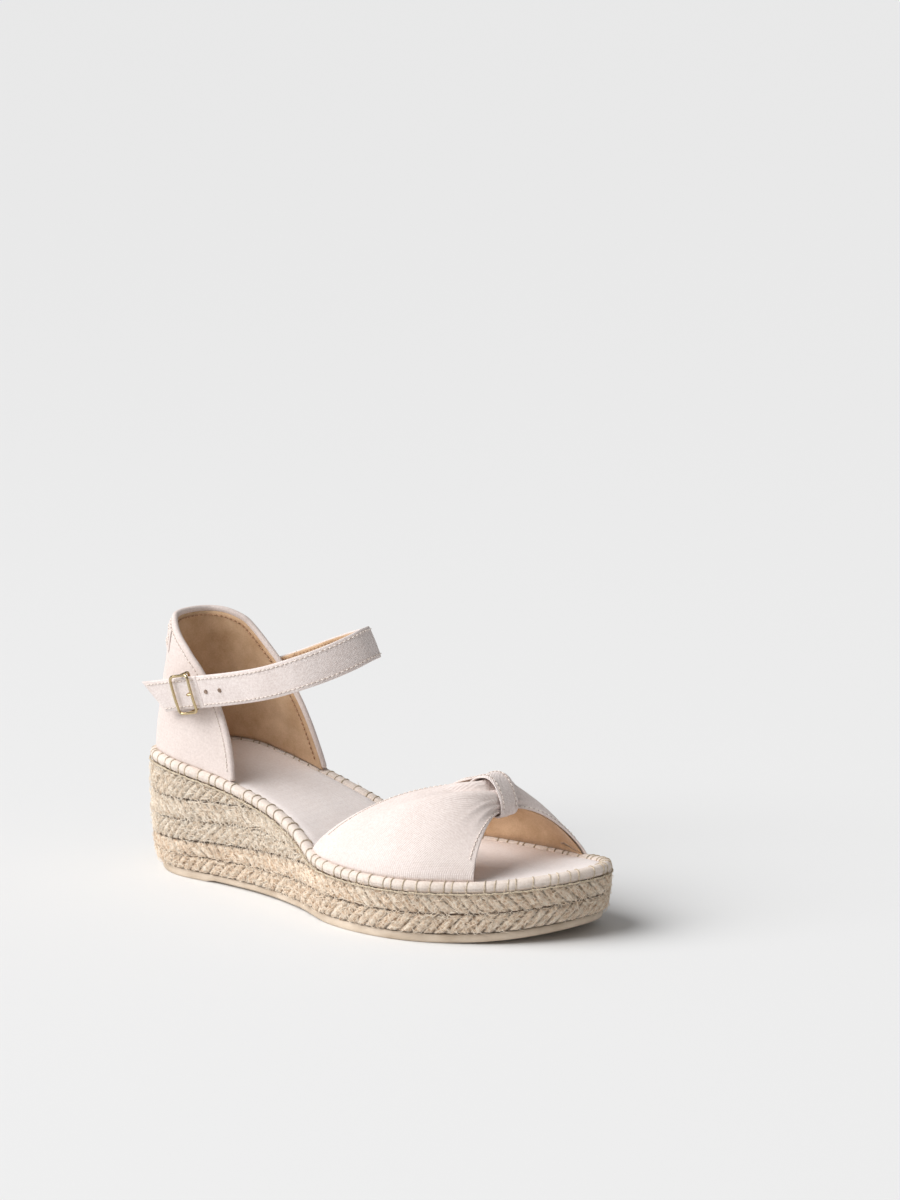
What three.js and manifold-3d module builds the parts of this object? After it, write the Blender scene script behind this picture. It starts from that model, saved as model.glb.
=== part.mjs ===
// Right-foot wedge sandal on a braided jute sole: canvas heel counter, peep-toe
// vamp gathered by a loop, and an ankle strap closed by a small centre-bar buckle.
//
// Millimetres. +X points to the toe, +Y to the inner side of the foot, +Z up.
// Places along the shoe are stations, measured forward from the back of the heel.
// The finished shoe is moved so that the origin lies on the tread under the heel seat.

import * as THREE from 'three';
import Module from 'manifold-3d';

// ---------- driving dimensions ----------

const SOLE_LENGTH = 250;
const HEEL_SEAT = 30;          // station of the origin
const GAP = 0.3;               // clearance between pieces that touch

const OUTSOLE_INSET = 1.6;
const OUTSOLE_TOP = 3.8;
const TREAD_LIFT = 0.9;        // the waist of the outsole is this much off the ground
const HEEL_PAD_END = 50;
const TOE_SPRING = 6;          // rise of the tip of the toe
const TOE_SPRING_FROM = 190;
const HEEL_UNDERCUT = 8;       // the back of the heel slopes in towards the tread
const TOE_UNDERCUT = 7;
const UNDERCUT_HEIGHT = 30;

const BRAID_WIDTH = 8;         // how far one turn of braid reaches in from the edge
const WEDGE_BRAID_HEIGHT = 19.5;
const RIM_WIDTH = 4.8;
const RIM_HEIGHT = 5;
const FOOTBED_DROP = 0.6;      // the footbed lies this much below the rim
const SOCK = 0.8;
const FOAM = 1.7;
const BOARD = 1;

const CANVAS = 1;
const STIFFENER = 0.8;
const LINING = 0.8;
const UPPER_INSET = 2.2;       // outer face of the upper where it stands on the rim
const COUNTER_HEIGHT = 60;     // above the rim, at the back
const COUNTER_LEAN = 8;        // how far its top edge leans in

const STRAP_WIDTH = 15.4;
const STRAP_CANVAS = 1.1;
const STRAP_TAPE = 0.4;
const STRAP_LINING = 0.8;
const STRAP_RAKE = [0.21, 0.4]; // how far the band leans back, at its ends and in front
const STRAP_LEAN = 0.16;       // and sideways, towards the buckle

const BUCKLE_AT = 0.03;        // share of the strap's length from its start
const BUCKLE_WIDTH = 12.4;
const BUCKLE_HEIGHT = 19.4;
const BUCKLE_WIRE = 1.6;
const BUCKLE_OUT = 3.3;        // the frame's middle plane, outward from the strap's
const BAR_RADIUS = 0.7;
const BAR_IN = 3.5;            // the centre bar, inward from the strap's middle plane
const EYE_BORE = 1;
const EYE_RADIUS = 1.6;
const TAB_WIDTH = 12;

const RING_STEPS = 76;         // facets round the whole sole

// ---------- curves ----------

// Outer edge of the jute, from the back of the heel forward along the outer side of
// the foot, round the toe and back along the inner side.
const OUTLINE = new THREE.CatmullRomCurve3([
  [-1, 0], [6, -20.5], [28, -31], [58, -31.5], [86, -34], [112, -41], [136, -51],
  [160, -54.5], [184, -51.5], [206, -41], [226, -26.5], [241, -8], [246.5, 12],
  [237, 28], [214, 37], [188, 40], [160, 37.5], [132, 30.5], [104, 26.5], [76, 27.5],
  [50, 30.5], [28, 31], [6, 20.5],
].map(([s, y]) => new THREE.Vector3(s, y, 0)), true, 'catmullrom', 0.5);

// Heights along the shoe, as smooth curves through a few [station, height] points.
const RIM_TOP = profile([[0, 56], [25, 55], [50, 51.7], [75, 47.2], [100, 41], [115, 35.3],
  [127, 29.8], [141, 28.2], [165, 27.4], [195, 27.4], [222, 28.6], [250, 32.5]]);
const SOLE_BRAID_TOP = profile([[0, 15.6], [60, 19.3], [125, 23.2], [150, 22.5],
  [195, 22.1], [222, 23.3], [250, 27.2]]);
const COUNTER_TOP_OUTER = profile([[0, 119], [6, 118], [12, 115], [18, 111.5], [32, 103.5],
  [42, 95.5], [52, 82], [58, 71], [62, 60], [64, 51]]);
const COUNTER_TOP_INNER = profile([[0, 119], [18, 117.5], [34, 110.5], [49, 97.5], [60, 82],
  [67, 69], [72, 57], [75, 49]]);
const COUNTER_END = { outer: 64, inner: 75 };

function profile(points) {
  const curve = new THREE.SplineCurve(points.map(([s, z]) => new THREE.Vector2(s, z)));
  const samples = curve.getPoints(points.length * 12);
  return (s) => {
    if (s <= samples[0].x) return samples[0].y;
    const i = samples.findIndex((p) => p.x >= s);
    if (i < 0) return samples[samples.length - 1].y;
    const a = samples[i - 1];
    const b = samples[i];
    return a.y + (b.y - a.y) * (s - a.x) / (b.x - a.x);
  };
}

function ease(t) {
  const c = Math.min(1, Math.max(0, t));
  return c * c * (3 - 2 * c);
}

function toeSpring(s) {
  return TOE_SPRING * Math.max(0, (s - TOE_SPRING_FROM) / (SOLE_LENGTH - TOE_SPRING_FROM)) ** 2;
}

const outsoleTop = (s) => OUTSOLE_TOP + toeSpring(s);
const rimLow = (s) => RIM_TOP(s) - RIM_HEIGHT - 2 * GAP;
const soleBraidTop = (s) => Math.min(SOLE_BRAID_TOP(s), rimLow(s));
const footbedTop = (s) => RIM_TOP(s) - FOOTBED_DROP;
const boardLow = (s) => footbedTop(s) - SOCK - FOAM - BOARD - 2 * GAP;
const wedgeBraidTop = (s) => Math.min(soleBraidTop(s) + WEDGE_BRAID_HEIGHT, rimLow(s));

// The tread: heel pad and ball touch the ground, the waist between them doesn't.
function tread(s) {
  const waist = ease((s - HEEL_PAD_END) / 1.5) * (1 - ease((s - 120) / 25));
  return TREAD_LIFT * waist + toeSpring(s);
}

// Parameter of the outline at a station, on the outer (-Y) or inner (+Y) side.
function outlineAt(station, side) {
  let [low, high] = side === 'outer' ? [0, 0.5] : [1, 0.5];
  for (let i = 0; i < 40; i += 1) {
    const middle = (low + high) / 2;
    if (OUTLINE.getPointAt(middle).x < station) low = middle;
    else high = middle;
  }
  return (low + high) / 2;
}

// A point at parameter u of the outline, moved in by inset, at height z. The back of
// the heel and the tip of the toe slope in below UNDERCUT_HEIGHT.
function edgePoint(u, inset, z) {
  const t = ((u % 1) + 1) % 1;
  const p = OUTLINE.getPointAt(t);
  const tangent = OUTLINE.getTangentAt(t);
  const back = HEEL_UNDERCUT * Math.max(0, 1 - p.x / 40) ** 2;
  const front = TOE_UNDERCUT * Math.max(0, 1 - (SOLE_LENGTH - p.x) / 40) ** 2;
  const low = Math.max(0, 1 - z / UNDERCUT_HEIGHT) ** 2;
  return new THREE.Vector3(
    p.x - tangent.y * inset + (back - front) * low,
    p.y + tangent.x * inset,
    z,
  );
}

// ---------- solids ----------

function body(points, triangles) {
  const geometry = new THREE.BufferGeometry();
  const flat = points.flatMap((p) => [p.x, p.y, p.z]);
  geometry.setAttribute('position', new THREE.Float32BufferAttribute(flat, 3));
  geometry.setIndex(triangles.flat());
  return geometry;
}

// Skins a row of sections, all with the same number of points, into one solid. A
// closed row joins its last section to its first; an open one gets a cap at each end,
// laddered between the first and second half of the section.
function loft(sections, closed) {
  const count = sections[0].length;
  const points = sections.flat();
  const triangles = [];
  const spans = closed ? sections.length : sections.length - 1;
  for (let i = 0; i < spans; i += 1) {
    const a = i * count;
    const b = ((i + 1) % sections.length) * count;
    for (let j = 0; j < count; j += 1) {
      const k = (j + 1) % count;
      triangles.push([a + j, a + k, b + k], [a + j, b + k, b + j]);
    }
  }
  if (!closed) {
    const last = (sections.length - 1) * count;
    for (let j = 0; j < count / 2 - 1; j += 1) {
      const k = count - 1 - j;
      triangles.push([j, k, j + 1], [j + 1, k, k - 1]);
      triangles.push([last + j, last + j + 1, last + k], [last + j + 1, last + k - 1, last + k]);
    }
  }
  return facesOut(body(points, triangles));
}

// Turns a solid's triangles round if its signed volume is negative.
function facesOut(geometry) {
  const p = geometry.attributes.position;
  const index = geometry.index.array;
  const [a, b, c] = [new THREE.Vector3(), new THREE.Vector3(), new THREE.Vector3()];
  let volume = 0;
  for (let i = 0; i < index.length; i += 3) {
    a.fromBufferAttribute(p, index[i]);
    b.fromBufferAttribute(p, index[i + 1]);
    c.fromBufferAttribute(p, index[i + 2]);
    volume += a.dot(b.cross(c));
  }
  if (volume < 0) {
    for (let i = 0; i < index.length; i += 3) {
      [index[i + 1], index[i + 2]] = [index[i + 2], index[i + 1]];
    }
  }
  return geometry;
}

// A layer of the sole between the heights low(s) and high(s), inset from the outline,
// from the heel to the station end. Where it stops short of the toe it ends square.
function layer(inset, low, high, end = SOLE_LENGTH, extra = []) {
  const whole = end >= SOLE_LENGTH;
  const tip = OUTLINE.getPointAt(outlineTip()).x;
  const steps = 40;
  const stations = [...extra];
  for (let i = 1; i < steps; i += 1) {
    const s = tip / 2 * (1 - Math.cos(Math.PI * i / steps));
    if (s < end - 0.5) stations.push(s);
  }
  if (!whole) stations.push(end);
  stations.sort((a, b) => a - b);
  const rows = stations.map((s) => [outlineAt(s, 'outer'), outlineAt(s, 'inner'), s]);
  const ring = [];
  ring.push([0, 0]);
  rows.forEach(([u, , s]) => ring.push([u, s]));
  if (whole) ring.push([outlineTip(), tip]);
  [...rows].reverse().forEach(([, u, s]) => ring.push([u, s]));
  const count = ring.length;
  const points = [
    ...ring.map(([u, s]) => edgePoint(u, inset, low(s))),
    ...ring.map(([u, s]) => edgePoint(u, inset, high(s))),
  ];
  const triangles = [];
  for (let i = 0; i < count; i += 1) {
    const k = (i + 1) % count;
    triangles.push([i, k, count + k], [i, count + k, count + i]);
  }
  for (let i = 0; i < rows.length; i += 1) {
    const [a, b, c, d] = [i, i + 1, count - i - 1, (count - i) % count];
    if (i > 0) triangles.push([a, d, c], [count + a, count + c, count + d]);
    triangles.push([a, c, b], [count + a, count + b, count + c]);
  }
  if (whole) {
    const k = rows.length + 1;
    triangles.push([k - 1, k + 1, k], [count + k - 1, count + k, count + k + 1]);
  }
  return facesOut(body(points, triangles));
}

function outlineTip() {
  let best = 0.5;
  for (let u = 0.45; u < 0.6; u += 0.001) {
    if (OUTLINE.getPointAt(u).x > OUTLINE.getPointAt(best).x) best = u;
  }
  return best;
}

// A ring round the whole sole; section(s) gives [inset, height] points.
function ring(section) {
  const sections = [];
  for (let i = 0; i < RING_STEPS; i += 1) {
    const u = i / RING_STEPS;
    const s = OUTLINE.getPointAt(u).x;
    sections.push(section(s).map(([inset, z]) => edgePoint(u, inset, z)));
  }
  return loft(sections, true);
}

// A band round the heel only, from the station outer on the outer side to the station
// inner on the inner side. spread > 1 crowds the sections towards its two ends.
function heelBand(outer, inner, steps, section, spread = 1) {
  const from = outlineAt(outer, 'outer');
  const to = outlineAt(inner, 'inner') - 1;
  const sections = [];
  for (let i = -steps; i <= steps; i += 1) {
    const t = 1 - (1 - Math.abs(i) / steps) ** spread;
    const u = (i < 0 ? to : from) * t;
    const s = OUTLINE.getPointAt((u + 1) % 1).x;
    sections.push(section(s, i < 0 ? 'inner' : 'outer').map(([inset, z]) => edgePoint(u, inset, z)));
  }
  return loft(sections, false);
}

// Section of one braid: two rounded rows, one over the other, flat on the inside.
function braidSection(low, high, width) {
  const rise = high - low;
  const row = (f) => low + rise * f;
  return [
    [1, row(0)], [0, row(0.25)], [0.7, row(0.5)], [0, row(0.75)], [1, row(1)],
    [width, row(1)], [width, row(0.75)], [width, row(0.5)], [width, row(0.25)], [width, row(0)],
  ];
}

// ---------- manifold booleans ----------

const wasm = await Module();
wasm.setup();

function toManifold(geometry) {
  return new wasm.Manifold(new wasm.Mesh({
    numProp: 3,
    vertProperties: new Float32Array(geometry.attributes.position.array),
    triVerts: new Uint32Array(geometry.index.array),
  }));
}

function cut(geometry, ...cutters) {
  let solid = toManifold(geometry);
  cutters.forEach((cutter) => {
    solid = solid.subtract(toManifold(cutter));
  });
  const mesh = solid.getMesh();
  const result = new THREE.BufferGeometry();
  result.setAttribute('position', new THREE.Float32BufferAttribute(mesh.vertProperties, 3));
  result.setIndex([...mesh.triVerts]);
  return result;
}

// A closed box with eight shared corners, given by its extents in a frame.
function cutterBox([x0, x1], [y0, y1], [z0, z1], matrix) {
  const floor = [[x0, y0], [x1, y0], [x1, y1], [x0, y1]];
  const sections = [z0, z1].map((z) => floor.map(([x, y]) => (
    new THREE.Vector3(x, y, z).applyMatrix4(matrix))));
  return loft(sections, false);
}

// ---------- assembly ----------

const shoe = new THREE.Group();
shoe.position.x = -HEEL_SEAT;

function add(name, geometry, colour, roughness, metalness = 0, parent = shoe) {
  const material = new THREE.MeshStandardMaterial({ color: colour, roughness, metalness });
  const mesh = new THREE.Mesh(geometry, material);
  mesh.name = name;
  parent.add(mesh);
}

const CANVAS_COLOUR = 0xeadfd8;
const JUTE_COLOUR = 0xc8ae8c;
const LINING_COLOUR = 0xb0906c;
const RUBBER_COLOUR = 0xb9ae9a;
const BRASS_COLOUR = 0xd9c79a;

// ----- sole -----

add('outsole', layer(OUTSOLE_INSET, tread, outsoleTop, SOLE_LENGTH,
  [HEEL_PAD_END, HEEL_PAD_END + 1.5, HEEL_PAD_END + 0.75]), RUBBER_COLOUR, 0.6);

add('sole_braid', ring((s) => braidSection(outsoleTop(s) + GAP, soleBraidTop(s), BRAID_WIDTH)),
  JUTE_COLOUR, 0.95);
add('sole_core', layer(BRAID_WIDTH + GAP, (s) => outsoleTop(s) + GAP,
  (s) => Math.min(soleBraidTop(s), boardLow(s) - 2 * GAP) - GAP), JUTE_COLOUR, 0.95);

const WEDGE_END = 112;         // where the wedge has thinned to an edge
add('wedge_core', layer(BRAID_WIDTH + GAP, (s) => soleBraidTop(s) + GAP,
  (s) => boardLow(s) - 2 * GAP, WEDGE_END), 0xa98f72, 0.9);
add('wedge_braid_lower', heelBand(118, 118, 24, (s) => (
  braidSection(soleBraidTop(s) + GAP, wedgeBraidTop(s), BRAID_WIDTH)), 1.4), JUTE_COLOUR, 0.95);
add('wedge_braid_upper', heelBand(77, 77, 18, (s) => (
  braidSection(wedgeBraidTop(s) + 2 * GAP, rimLow(s), BRAID_WIDTH)), 1.4), JUTE_COLOUR, 0.95);

// ----- footbed, from the stiff board up to the canvas sock -----

const footbedInset = RIM_WIDTH + 2 * GAP;
const boardTop = (s) => boardLow(s) + BOARD;
const foamTop = (s) => boardTop(s) + GAP + FOAM;
add('insole_board', layer(footbedInset, boardLow, boardTop), 0x8f7a63, 0.9);
add('insole_foam', layer(footbedInset, (s) => boardTop(s) + GAP, foamTop), 0xe6dfd0, 0.9);
add('insole_sock', layer(footbedInset, (s) => foamTop(s) + GAP, footbedTop), CANVAS_COLOUR, 0.9);

// ----- rolled canvas rim and the thread that binds it to the jute -----

add('rim_binding', ring((s) => {
  const top = RIM_TOP(s);
  const low = top - RIM_HEIGHT;
  return [[0.8, low], [GAP, low + 1.6], [GAP, top - 1.8], [1.4, top], [RIM_WIDTH - 1, top],
    [RIM_WIDTH, top - 1.2], [RIM_WIDTH, low + 1.2], [RIM_WIDTH - 1, low]];
}), CANVAS_COLOUR, 0.9);

const THREAD_RADIUS = 0.5;
add('rim_thread', ring((s) => {
  const sides = 6;
  const section = [];
  for (let i = 0; i < sides; i += 1) {
    const a = 2 * Math.PI * i / sides;
    section.push([-0.6 + THREAD_RADIUS * Math.cos(a),
      RIM_TOP(s) - RIM_HEIGHT + THREAD_RADIUS * Math.sin(a)]);
  }
  return section;
}), 0xa9987f, 0.8);

// ----- heel counter -----

const rimSeat = (s) => RIM_TOP(s) + GAP;

// How far the counter's outer face is inset at height z: upright at the rim, leaning
// in towards its top edge.
function counterInset(s, z) {
  const rise = Math.max(0, z - RIM_TOP(s)) / COUNTER_HEIGHT;
  return UPPER_INSET + COUNTER_LEAN * rise ** 1.3;
}

// One layer of the counter: a wall between two depths from the outer face, from the
// rim up to top(s, side).
function counterWall(depth, thickness, top, ends, steps) {
  const rows = 5;
  return heelBand(ends.outer, ends.inner, steps, (s, side) => {
    const face = [];
    const back = [];
    for (let i = 0; i <= rows; i += 1) {
      const z = rimSeat(s) + (top(s, side) - rimSeat(s)) * i / rows;
      face.push([counterInset(s, z) + depth, z]);
      back.unshift([counterInset(s, z) + depth + thickness, z]);
    }
    return [...face, ...back];
  }, 1.5);
}

const counterTop = (s, side) => (side === 'outer' ? COUNTER_TOP_OUTER(s) : COUNTER_TOP_INNER(s));
const stiffenerTop = (s) => rimSeat(s) + 40 * Math.max(0.08, 1 - (s / 52) ** 2);
const stiffenerDepth = CANVAS + GAP;
const liningDepth = stiffenerDepth + STIFFENER + GAP;

add('counter_canvas', counterWall(0, CANVAS, counterTop, COUNTER_END, 26), CANVAS_COLOUR, 0.9);
add('counter_stiffener', counterWall(stiffenerDepth, STIFFENER, stiffenerTop,
  { outer: 48, inner: 48 }, 14), 0x9a8f80, 0.8);
add('counter_lining', counterWall(liningDepth, LINING, (s, side) => counterTop(s, side) - 0.6,
  { outer: COUNTER_END.outer - 0.8, inner: COUNTER_END.inner - 0.8 }, 26), LINING_COLOUR, 0.8);

// Plain patch over the back of the counter, just under its top edge.
const PATCH = { top: 2, height: 10, reach: 13, thickness: 0.7 };
add('heel_patch', heelBand(PATCH.reach, PATCH.reach, 8, (s, side) => {
  const high = counterTop(s, side) - PATCH.top;
  const rows = 2;
  const face = [];
  const back = [];
  for (let i = 0; i <= rows; i += 1) {
    const z = high - PATCH.height + PATCH.height * i / rows;
    face.push([counterInset(s, z) - GAP - PATCH.thickness, z]);
    back.unshift([counterInset(s, z) - GAP, z]);
  }
  return [...face, ...back];
}), CANVAS_COLOUR, 0.9);

// ----- vamp -----

// The vamp runs from rim to rim over the toes. From back to front, v goes 0 to 1: on
// the rim it spans VAMP_FOOT, and at the middle it is gathered into the short ridge
// VAMP_RIDGE, flat across the width of the loop that holds it.
const VAMP_FOOT = { outer: [125, 212], inner: [122, 222] };
const VAMP_RIDGE = new THREE.SplineCurve([[186.5, 62.5], [190, 64.6], [194.5, 65.2],
  [198.5, 61.6], [200.7, 56.5], [201.1, 51.5]].map(([s, z]) => new THREE.Vector2(s, z)));
const GATHER_HALF = 6.2;

// Height share of the arch at share h of the way from the rim to the ridge. The outer
// side swells most at the front edge, the inner side a little behind it.
function archShare(h, v, side) {
  const inner = 1.1 - 1.9 * v + 1.15 * v ** 2 + 0.45 * v ** 6;
  const power = side === 'outer' ? 0.7 - 0.2 * v : inner;
  return Math.sin(h * Math.PI / 2) ** power;
}

// A point of the vamp's outer face.
function vampFace(side, h, v) {
  const [from, to] = VAMP_FOOT[side];
  const s = from + (to - from) * v;
  const foot = edgePoint(outlineAt(s, side), UPPER_INSET, rimSeat(s));
  const ridge = VAMP_RIDGE.getPoint(v);
  const crest = new THREE.Vector3(ridge.x, side === 'outer' ? -GATHER_HALF : GATHER_HALF, ridge.y);
  const p = foot.clone().lerp(crest, h);
  p.z = foot.z + (crest.z - foot.z) * archShare(h, v, side);
  return p;
}

// The same point moved in by depth, along the surface's normal; on the rim it moves
// level, so that every layer stands on the rim.
function vampPoint(side, h, v, depth) {
  const step = 0.01;
  if (h === 0) {
    const [from, to] = VAMP_FOOT[side];
    const s = from + (to - from) * v;
    return edgePoint(outlineAt(s, side), UPPER_INSET + depth, rimSeat(s));
  }
  const up = vampFace(side, Math.min(1, h + step), v).sub(vampFace(side, Math.max(0, h - step), v));
  const forward = vampFace(side, h, Math.min(1, v + step)).sub(vampFace(side, h, Math.max(0, v - step)));
  if (h === 1) up.set(0, side === 'outer' ? 1 : -1, 0);
  const inward = up.cross(forward).normalize().multiplyScalar(side === 'outer' ? 1 : -1);
  if (inward.z > 0) inward.negate();
  return vampFace(side, h, v).addScaledVector(inward, depth);
}

// One layer of the vamp: sections run from back edge to front edge and are skinned
// from the outer rim over the ridge to the inner rim.
function vampLayer(depth, thickness) {
  const across = 12;
  const along = 10;
  const places = [];
  for (let i = 0; i <= across; i += 1) places.push(['outer', (i / across) ** 1.3]);
  for (let i = across; i >= 0; i -= 1) places.push(['inner', (i / across) ** 1.3]);
  const sections = places.map(([side, h]) => {
    const face = [];
    const back = [];
    for (let j = 0; j <= along; j += 1) {
      const v = j / along;
      face.push(vampPoint(side, h, v, depth));
      back.unshift(vampPoint(side, h, v, depth + thickness));
    }
    return [...face, ...back];
  });
  return loft(sections, false);
}

const vampLiningDepth = CANVAS + 2 * GAP;
add('vamp_canvas', vampLayer(0, CANVAS), CANVAS_COLOUR, 0.9);
add('vamp_lining', vampLayer(vampLiningDepth, LINING), LINING_COLOUR, 0.8);

// The loop that gathers the vamp: a closed strip round the ridge, over and under.
const LOOP = { half: 5.9, clear: 0.5, thickness: 1.2 };

function ridgeOffset(v, out) {
  const before = VAMP_RIDGE.getPoint(Math.max(0, v - 0.01));
  const after = VAMP_RIDGE.getPoint(Math.min(1, v + 0.01));
  const run = after.clone().sub(before).normalize();
  const p = VAMP_RIDGE.getPoint(v);
  return new THREE.Vector2(p.x - run.y * out, p.y + run.x * out);
}

function loopContour(over, under, past) {
  const contour = [];
  const steps = 10;
  const start = VAMP_RIDGE.getPoint(0).sub(VAMP_RIDGE.getPoint(0.02)).setLength(past);
  const end = VAMP_RIDGE.getPoint(1).sub(VAMP_RIDGE.getPoint(0.98)).setLength(past);
  contour.push(ridgeOffset(0, over).add(start));
  for (let i = 0; i <= steps; i += 1) contour.push(ridgeOffset(i / steps, over));
  contour.push(ridgeOffset(1, over).add(end), ridgeOffset(1, -under).add(end));
  for (let i = steps; i >= 0; i -= 1) contour.push(ridgeOffset(i / steps, -under));
  contour.push(ridgeOffset(0, -under).add(start));
  return contour;
}

const vampDepth = vampLiningDepth + LINING;
const inside = loopContour(LOOP.clear, vampDepth + LOOP.clear, LOOP.clear);
const outside = loopContour(LOOP.clear + LOOP.thickness, vampDepth + LOOP.clear + LOOP.thickness,
  LOOP.clear + LOOP.thickness);
add('vamp_loop', loft(inside.map((p, i) => {
  const q = outside[i];
  return [new THREE.Vector3(p.x, -LOOP.half, p.y), new THREE.Vector3(p.x, LOOP.half, p.y),
    new THREE.Vector3(q.x, LOOP.half, q.y), new THREE.Vector3(q.x, -LOOP.half, q.y)];
}), true), CANVAS_COLOUR, 0.9);

// ----- ankle strap -----

// Middle line of the strap, from the buckle forward round the instep to the inner side
// of the counter, where it is sewn on.
const STRAP_LINE = new THREE.CatmullRomCurve3([
  [35.5, -32.3, 87.7], [54, -32.8, 91.5], [74, -31.8, 95.8], [89, -30, 99.8],
  [102, -25.5, 104.6], [111.5, -17.5, 109], [117.5, -8, 113], [119, 1, 115.4],
  [114.5, 11.5, 114.6], [105.5, 19.5, 111.5], [92, 25, 107], [78, 27.6, 101.8],
  [62, 27.8, 95.3], [46, 27, 89],
].map((p) => new THREE.Vector3(...p)), false, 'catmullrom', 0.5);

// Direction across the strap's width, at share t of its length.
function acrossStrap(t) {
  const [ends, front] = STRAP_RAKE;
  const rake = ends + (front - ends) * Math.sin(Math.PI * t);
  return new THREE.Vector3(-rake, -STRAP_LEAN, 1).normalize();
}

// One layer of the strap, between two depths inward of its outer face.
function strapLayer(depth, thickness, margin = 0) {
  const steps = 40;
  const half = STRAP_WIDTH / 2 - margin;
  const outer = strapThickness / 2 - depth;
  const sections = [];
  for (let i = 0; i <= steps; i += 1) {
    const t = i / steps;
    const p = STRAP_LINE.getPointAt(t);
    const across = acrossStrap(t);
    const out = STRAP_LINE.getTangentAt(t).cross(across).normalize();
    const corner = (side, w) => p.clone().addScaledVector(out, side).addScaledVector(across, w);
    sections.push([corner(outer, -half), corner(outer, half),
      corner(outer - thickness, half), corner(outer - thickness, -half)]);
  }
  return loft(sections, false);
}

const strapTapeDepth = STRAP_CANVAS + GAP;
const strapLiningDepth = strapTapeDepth + STRAP_TAPE + GAP;
const strapThickness = strapLiningDepth + STRAP_LINING;

// The buckle's own frame: x along the strap, y inward, z across the strap.
const buckleAcross = acrossStrap(BUCKLE_AT);
const buckleAlong = STRAP_LINE.getTangentAt(BUCKLE_AT);
buckleAlong.addScaledVector(buckleAcross, -buckleAlong.dot(buckleAcross)).normalize();
const buckleInward = buckleAcross.clone().cross(buckleAlong);
const buckleMatrix = new THREE.Matrix4().makeBasis(buckleAlong, buckleInward, buckleAcross)
  .setPosition(STRAP_LINE.getPointAt(BUCKLE_AT));
const buckleGroup = new THREE.Group();
buckleGroup.applyMatrix4(buckleMatrix);
shoe.add(buckleGroup);

// The slot that the prong passes through, and two spare holes further along.
const holes = [[-1.4, 4.4], [12.2, 13.6], [20.6, 22]].map((span, i) => (
  cutterBox(span, [-6, 6], i ? [-0.8, 0.8] : [-1.15, 1.15], buckleMatrix)));
add('strap_canvas', cut(strapLayer(0, STRAP_CANVAS), ...holes), CANVAS_COLOUR, 0.9);
add('strap_tape', cut(strapLayer(strapTapeDepth, STRAP_TAPE, 1), ...holes), 0xd8d2c6, 0.9);
add('strap_lining', cut(strapLayer(strapLiningDepth, STRAP_LINING, 0.4), ...holes),
  LINING_COLOUR, 0.8);

// Free end of the strap, behind the buckle, with its corner cut on the slant.
const TIP = { start: -7.6, top: -27, slant: -16.5 };

function tipLayer(outerFace, thickness, margin) {
  const half = STRAP_WIDTH / 2 - margin;
  const shape = new THREE.Shape([
    [TIP.start, -half], [TIP.start, half], [TIP.top + margin, half],
    [TIP.top - 0.4 + margin, half - 2], [TIP.slant + margin, -half],
  ].map((p) => new THREE.Vector2(...p)));
  const geometry = new THREE.ExtrudeGeometry(shape, { depth: thickness, bevelEnabled: false });
  geometry.rotateX(Math.PI / 2);
  geometry.translate(0, outerFace + thickness, 0);
  return geometry;
}

add('strap_tip_canvas', tipLayer(-strapThickness / 2, STRAP_CANVAS, 0), CANVAS_COLOUR, 0.9, 0,
  buckleGroup);
add('strap_tip_lining', tipLayer(-strapThickness / 2 + STRAP_CANVAS + GAP,
  strapThickness - STRAP_CANVAS - GAP, 0.4), LINING_COLOUR, 0.8, 0, buckleGroup);

// ----- buckle -----

function roundedRectangle(path, width, height, radius) {
  const [x, y] = [width / 2, height / 2];
  path.moveTo(-x + radius, -y);
  path.lineTo(x - radius, -y).absarc(x - radius, -y + radius, radius, -Math.PI / 2, 0);
  path.lineTo(x, y - radius).absarc(x - radius, y - radius, radius, 0, Math.PI / 2);
  path.lineTo(-x + radius, y).absarc(-x + radius, y - radius, radius, Math.PI / 2, Math.PI);
  path.lineTo(-x, -y + radius).absarc(-x + radius, -y + radius, radius, Math.PI, 1.5 * Math.PI);
  return path;
}

const bevel = BUCKLE_WIRE / 4;
const frameShape = roundedRectangle(new THREE.Shape(), BUCKLE_WIDTH - 2 * bevel,
  BUCKLE_HEIGHT - 2 * bevel, 2);
frameShape.holes.push(roundedRectangle(new THREE.Path(),
  BUCKLE_WIDTH - 2 * BUCKLE_WIRE + 2 * bevel, BUCKLE_HEIGHT - 2 * BUCKLE_WIRE + 2 * bevel, 1));
const frameGeometry = new THREE.ExtrudeGeometry(frameShape, {
  depth: BUCKLE_WIRE - 2 * bevel, bevelThickness: bevel, bevelSize: bevel, bevelSegments: 1,
  curveSegments: 4,
});
frameGeometry.translate(0, 0, -BUCKLE_WIRE / 2 + bevel);
frameGeometry.rotateX(Math.PI / 2);
frameGeometry.translate(0, -BUCKLE_OUT, 0);
add('buckle_frame', frameGeometry, BRASS_COLOUR, 0.3, 1, buckleGroup);

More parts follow.
